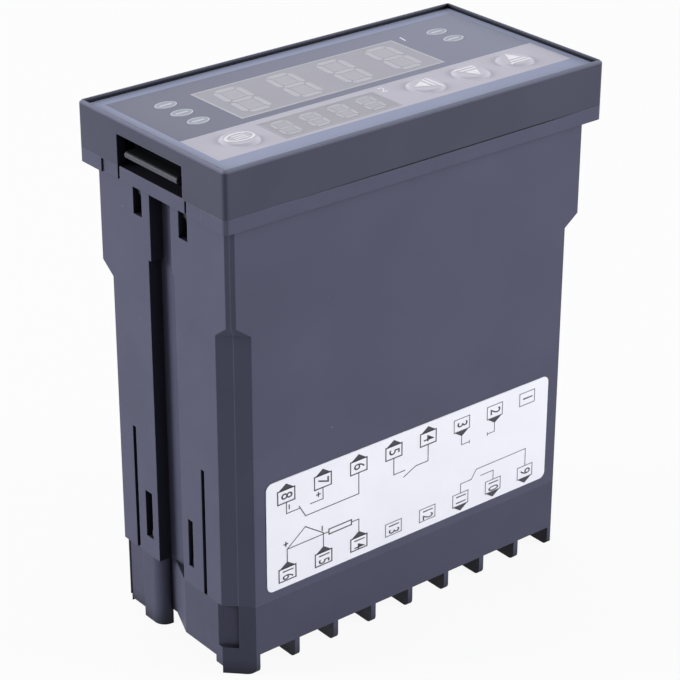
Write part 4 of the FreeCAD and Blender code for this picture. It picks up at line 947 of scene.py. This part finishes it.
screws("terminal_screws", "case", TERMINAL_SCREW,
       [(terminal_x(index), row * TERMINAL_ROW, WASHER_LOW) for row in (-1, 1) for index in range(8)])
screws("board_screws", "chassis", BOARD_SCREW,
       [(x * BOARD_CORNER_X, y * BOARD_CORNER_Y, BOARD_LOW) for x in (-1, 1) for y in (-1, 1)])

# %% [markdown]
# ## Small parts on the boards
# When the front is drawn out, the two long boards come into view with what is soldered to them. Resistors
# and small capacitors are turned forms, flat packages are softened blocks with two rows of legs, and on the
# outer sides every wire ends in a small cone of solder. Tinned fingers at the rear edge meet the contacts.

# %% Small parts on the boards
BOARD_IN, BOARD_OUT = 11.2, 12.8
WIRE, WIRE_REACH = 0.28, 4.5
LEG_PITCH, PACKAGE_WIDE, PACKAGE_HIGH = 1.27, 4.0, 1.4
ACROSS = Matrix.Rotation(math.pi / 2, 4, "X")
RESISTOR = ((0, -3.0), (0.8, -2.9), (1.1, -2.3), (0.9, -1.6), (0.9, 1.6), (1.1, 2.3), (0.8, 2.9), (0, 3.0))
DISC = ((0, -1.0), (1.6, -0.9), (2.6, -0.5), (2.8, 0), (2.6, 0.5), (1.6, 0.9), (0, 1.0))
BODY = plain("resistor_body", (206, 186, 146), (190, 168, 128), size=0.002, roughness=0.35)
CERAMIC = plain("ceramic_body", (196, 128, 52), (178, 112, 44), size=0.002, roughness=0.4)
FOIL_BOX = plain("foil_box", (214, 206, 72), (200, 190, 60), size=0.004, roughness=0.35)
SOLDER = plain("solder", (190, 192, 196), (164, 166, 172), size=0.0008, roughness=0.3, metal=1.0)


def softened(size, soften):
    """A block with bevelled edges, centred."""
    form = bmesh.new()
    bmesh.ops.create_cube(form, size=1)
    bmesh.ops.scale(form, vec=size, verts=form.verts)
    bmesh.ops.bevel(form, geom=form.edges[:], affect="EDGES", offset=soften, segments=2, profile=0.5,
                    material=-1)
    return form


def wire(long):
    """A straight piece of wire along Z, centred."""
    half = long / 2
    return turned([(0, -half), (WIRE, -half), (WIRE, half), (0, half)], 8)


def resistor(side, x, z):
    """side is 1 for the board at +Y and -1 for the other. Its wires bend over to the board."""
    y = side * (BOARD_IN - 1.3)
    gather(bodies, turned(RESISTOR, 16), Matrix.Translation((x, y, z)))
    for end in (-1, 1):
        gather(wires, wire(1.8), Matrix.Translation((x, y, z + end * 3.8)))
        gather(wires, wire(1.5), Matrix.Translation((x, y + side * 0.7, z + end * WIRE_REACH)) @ ACROSS)


def can(side, x, z, radius, high):
    """A small electrolytic capacitor standing on the board, with a groove near its foot."""
    profile = [(0, 0), (radius - 0.3, 0), (radius, 0.3), (radius, 0.9), (radius - 0.25, 1.2), (radius, 1.5),
               (radius, high - 0.3), (radius - 0.3, high), (radius - 0.7, high),
               (radius - 0.8, high - 0.15), (0, high - 0.15)]
    off_board = Matrix.Rotation(side * math.pi / 2, 4, "X")
    gather(sleeves, turned(profile, 24), Matrix.Translation((x, side * BOARD_IN, z)) @ off_board)


def package(side, x, z, long, legs):
    """A flat package with two rows of legs along Z."""
    y = side * (BOARD_IN - PACKAGE_HIGH / 2 - 0.3)
    gather(blocks, softened((PACKAGE_WIDE, PACKAGE_HIGH, long), 0.2), Matrix.Translation((x, y, z)))
    for row in (-1, 1):
        for index in range(legs):
            leg_x, leg_z = x + row * (PACKAGE_WIDE / 2 + 0.45), z + (index - (legs - 1) / 2) * LEG_PITCH
            at = (leg_x, side * (BOARD_IN - 0.3), leg_z)
            gather(wires, softened((0.9, 0.5, 0.45), 0.08), Matrix.Translation(at))


def disc(side, x, z):
    """A ceramic capacitor on two short legs."""
    gather(discs, turned(DISC, 20), Matrix.Translation((x, side * (BOARD_IN - 3.4), z)))
    for end in (-1.2, 1.2):
        gather(wires, wire(1.4), Matrix.Translation((x + end, side * (BOARD_IN - 0.6), z)) @ ACROSS)


RESISTORS = (
    (1, ((-32, 54), (-27, 54), (-22, 54), (-33, 72), (-28, 72), (20, 24), (26, 24))),
    (-1, ((-34, 30), (-34, 44), (-29, 30), (-29, 44), (32, 40), (27, 40), (22, 40))),
)
bodies, wires, sleeves, blocks, discs, boxes = (bmesh.new() for _ in range(6))
for side, places in RESISTORS:
    for x, z in places:
        resistor(side, x, z)
for settings in ((1, -20, 72, 3.1, 9.0), (1, 4, 70, 2.5, 7.0),
                 (-1, 30, 84, 2.5, 6.5), (-1, -33, 60, 3.1, 7.0)):
    can(*settings)
for settings in ((-1, -8, 54, 5.0, 4), (-1, 4, 78, 9.6, 7), (1, 24, 78, 5.0, 4)):
    package(*settings)
for settings in ((1, -4, 72), (1, 34, 68), (-1, -24, 62), (-1, 2, 40)):
    disc(*settings)
gather(boxes, softened((13, 6, 8), 0.5), Matrix.Translation((-2, BOARD_IN - 3.1, 28)))
gather(boxes, softened((10, 4, 7), 0.5), Matrix.Translation((8, -BOARD_IN + 2.1, 28)))
for name, form, material, slot, angle in (
    ("board_resistors", bodies, BODY, "coil", 50),
    ("board_wires", wires, STEEL, "steel", 50),
    ("board_capacitors", sleeves, SLEEVE, "sleeve", 30),
    ("board_packages", blocks, BLACK, "switch_black", 30),
    ("board_discs", discs, CERAMIC, "coil", 50),
    ("board_boxes", boxes, FOIL_BOX, "coil", 30),
):
    smooth(finish_piece(name, form, material, "chassis"), angle)
print("resistors placed:", sum(len(places) for _, places in RESISTORS))

# %% Solder and tinned fingers
def grid(columns, rows):
    return [(x, z) for x in columns for z in rows]


CONE, CONE_HIGH = 0.85, 0.6
HEADER_PINS, HEADER_PITCH, HEADER_Z, HEADER_CONE = 12, 2.54, 99.5, 0.7
BIG_PART_LEGS = {
    1: grid((12, 17, 22, 27, 32), (37, 53)) + grid((-10.5, -5.5), (50,)) + grid((-33, -19), (37, 41))
    + [(-26, 36)],
    -1: grid((13, 27), (65, 69)) + [(20, 64)] + grid((-20, -4), (71, 73.5, 76, 78.5, 81)),
}
solder = bmesh.new()


def solder_joint(side, x, z, radius=CONE):
    """A small cone on the outer side of a board."""
    cone = bmesh.new()
    bmesh.ops.create_cone(cone, cap_ends=True, segments=8, radius1=radius, radius2=radius * 0.35,
                          depth=CONE_HIGH)
    outwards = Matrix.Rotation(-side * math.pi / 2, 4, "X")
    gather(solder, cone, Matrix.Translation((x, side * (BOARD_OUT + CONE_HIGH / 2), z)) @ outwards)


for side, places in RESISTORS:
    ends = [(x, z + end * WIRE_REACH) for x, z in places for end in (-1, 1)]
    for x, z in BIG_PART_LEGS[side] + ends:
        solder_joint(side, x, z)
    for index in range(HEADER_PINS):
        solder_joint(side, (index - (HEADER_PINS - 1) / 2) * HEADER_PITCH, HEADER_Z, HEADER_CONE)
smooth(finish_piece("solder_joints", solder, SOLDER, "chassis"), 40)

FINGER, FINGER_Z, FINGER_LIFT = (4.6, 0.05, 7.4), 19.5, 0.03
fingers = bmesh.new()
for side in (-1, 1):
    for face in (BOARD_IN - FINGER_LIFT, BOARD_OUT + FINGER_LIFT):
        for index in range(8):
            at = (terminal_x(index), side * face, FINGER_Z)
            gather(fingers, softened(FINGER, 0.01), Matrix.Translation(at))
finish_piece("board_fingers", fingers, BRASS, "chassis")
print("solder joints on the headers:", 2 * HEADER_PINS)

# %% [markdown]
# ## Floor, light and camera
# A pale floor and a white surround. The world gives even light from all round. Three soft lamps, from the
# left, the right and above, model the faces apart. The camera and reflections see the world as plain white
# and the floor as nearly white.

# %% Floor, light and camera
AMBIENT, SURROUND, FLOOR_WHITE = 0.18, 0.98, 0.93
WHITE = (1.0, 1.0, 1.0, 1.0)
FLOOR_HALF = 3
SEEN_DIRECTLY = ("Is Camera Ray", "Is Glossy Ray", "Is Transmission Ray")


def seen_directly(tree):
    """1 for rays that show a thing to the camera, straight or by reflection, 0 for rays that light it."""
    rays = tree.nodes.new("ShaderNodeLightPath")
    share = rays.outputs[SEEN_DIRECTLY[0]]
    for kind in SEEN_DIRECTLY[1:]:
        either = tree.nodes.new("ShaderNodeMath")
        either.operation = "MAXIMUM"
        tree.links.new(share, either.inputs[0])
        tree.links.new(rays.outputs[kind], either.inputs[1])
        share = either.outputs["Value"]
    return share


def blended(tree, share, first, second, target):
    """Sends a blend of two shaders to the output."""
    blend = tree.nodes.new("ShaderNodeMixShader")
    tree.links.new(share, blend.inputs["Fac"])
    tree.links.new(first, blend.inputs[1])
    tree.links.new(second, blend.inputs[2])
    tree.links.new(blend.outputs["Shader"], target)


def floor():
    sheet = bmesh.new()
    bmesh.ops.create_grid(sheet, x_segments=1, y_segments=1, size=FLOOR_HALF)
    mesh = bpy.data.meshes.new("floor")
    sheet.to_mesh(mesh)
    sheet.free()
    finish = Finish("pale_floor")
    finish.set(Base_Color=screen(206, 206, 208), Roughness=0.9, Specular_IOR_Level=0.0)
    white = finish.add("ShaderNodeEmission")
    blended(finish.tree, finish.math("MULTIPLY", seen_directly(finish.tree), FLOOR_WHITE),
            finish.shader.outputs["BSDF"], white.outputs["Emission"],
            finish.tree.nodes["Material Output"].inputs["Surface"])
    mesh.materials.append(finish.material)
    piece = bpy.data.objects.new("floor", mesh)
    bpy.context.scene.collection.objects.link(piece)


def surround():
    world = bpy.data.worlds.new("surround")
    bpy.context.scene.world = world
    world.use_nodes = True
    tree = world.node_tree
    light, plain_white = tree.nodes["Background"], tree.nodes.new("ShaderNodeBackground")
    for background, strength in ((light, AMBIENT), (plain_white, SURROUND)):
        background.inputs["Color"].default_value = WHITE
        background.inputs["Strength"].default_value = strength
    blended(tree, seen_directly(tree), light.outputs["Background"], plain_white.outputs["Background"],
            tree.nodes["World Output"].inputs["Surface"])


def aimed(at, aim):
    """The turn of a lamp or camera at one point that looks at another."""
    return (Vector(aim) - Vector(at)).to_track_quat("-Z", "Y")


def lamp(name, at, size, power):
    data = bpy.data.lights.new(name, "AREA")
    data.size = size
    data.energy = power
    holder = bpy.data.objects.new(name, data)
    holder.location = at
    holder.rotation_euler = aimed(at, MIDDLE).to_euler()
    bpy.context.scene.collection.objects.link(holder)


CAMERA_AT = Vector((-280.12, -343.71, 274.39)) * MM
CAMERA_AIM = Vector((-0.79, 0.91, 54.76)) * MM
CAMERA_ROLL = math.radians(0.12)
LENS, SENSOR = 124.97, 36
MIDDLE = (0, 0, 0.06)


def camera():
    data = bpy.data.cameras.new("camera")
    data.lens = LENS
    data.sensor_width = SENSOR
    data.clip_start = 0.01
    holder = bpy.data.objects.new("camera", data)
    turn = aimed(CAMERA_AT, CAMERA_AIM).to_matrix().to_4x4()
    holder.matrix_world = Matrix.Translation(CAMERA_AT) @ turn @ Matrix.Rotation(CAMERA_ROLL, 4, "Z")
    bpy.context.scene.collection.objects.link(holder)
    bpy.context.scene.camera = holder


floor()
surround()
lamp("left_lamp", (-1.05, 0.75, 0.5), 0.5, 18.0)
lamp("right_lamp", (1.0, -0.95, 0.45), 0.5, 19.5)
lamp("top_lamp", (0.2, 0.5, 1.3), 0.7, 7.5)
camera()
bpy.context.scene.view_settings.view_transform = "Standard"
print("camera lens:", LENS)
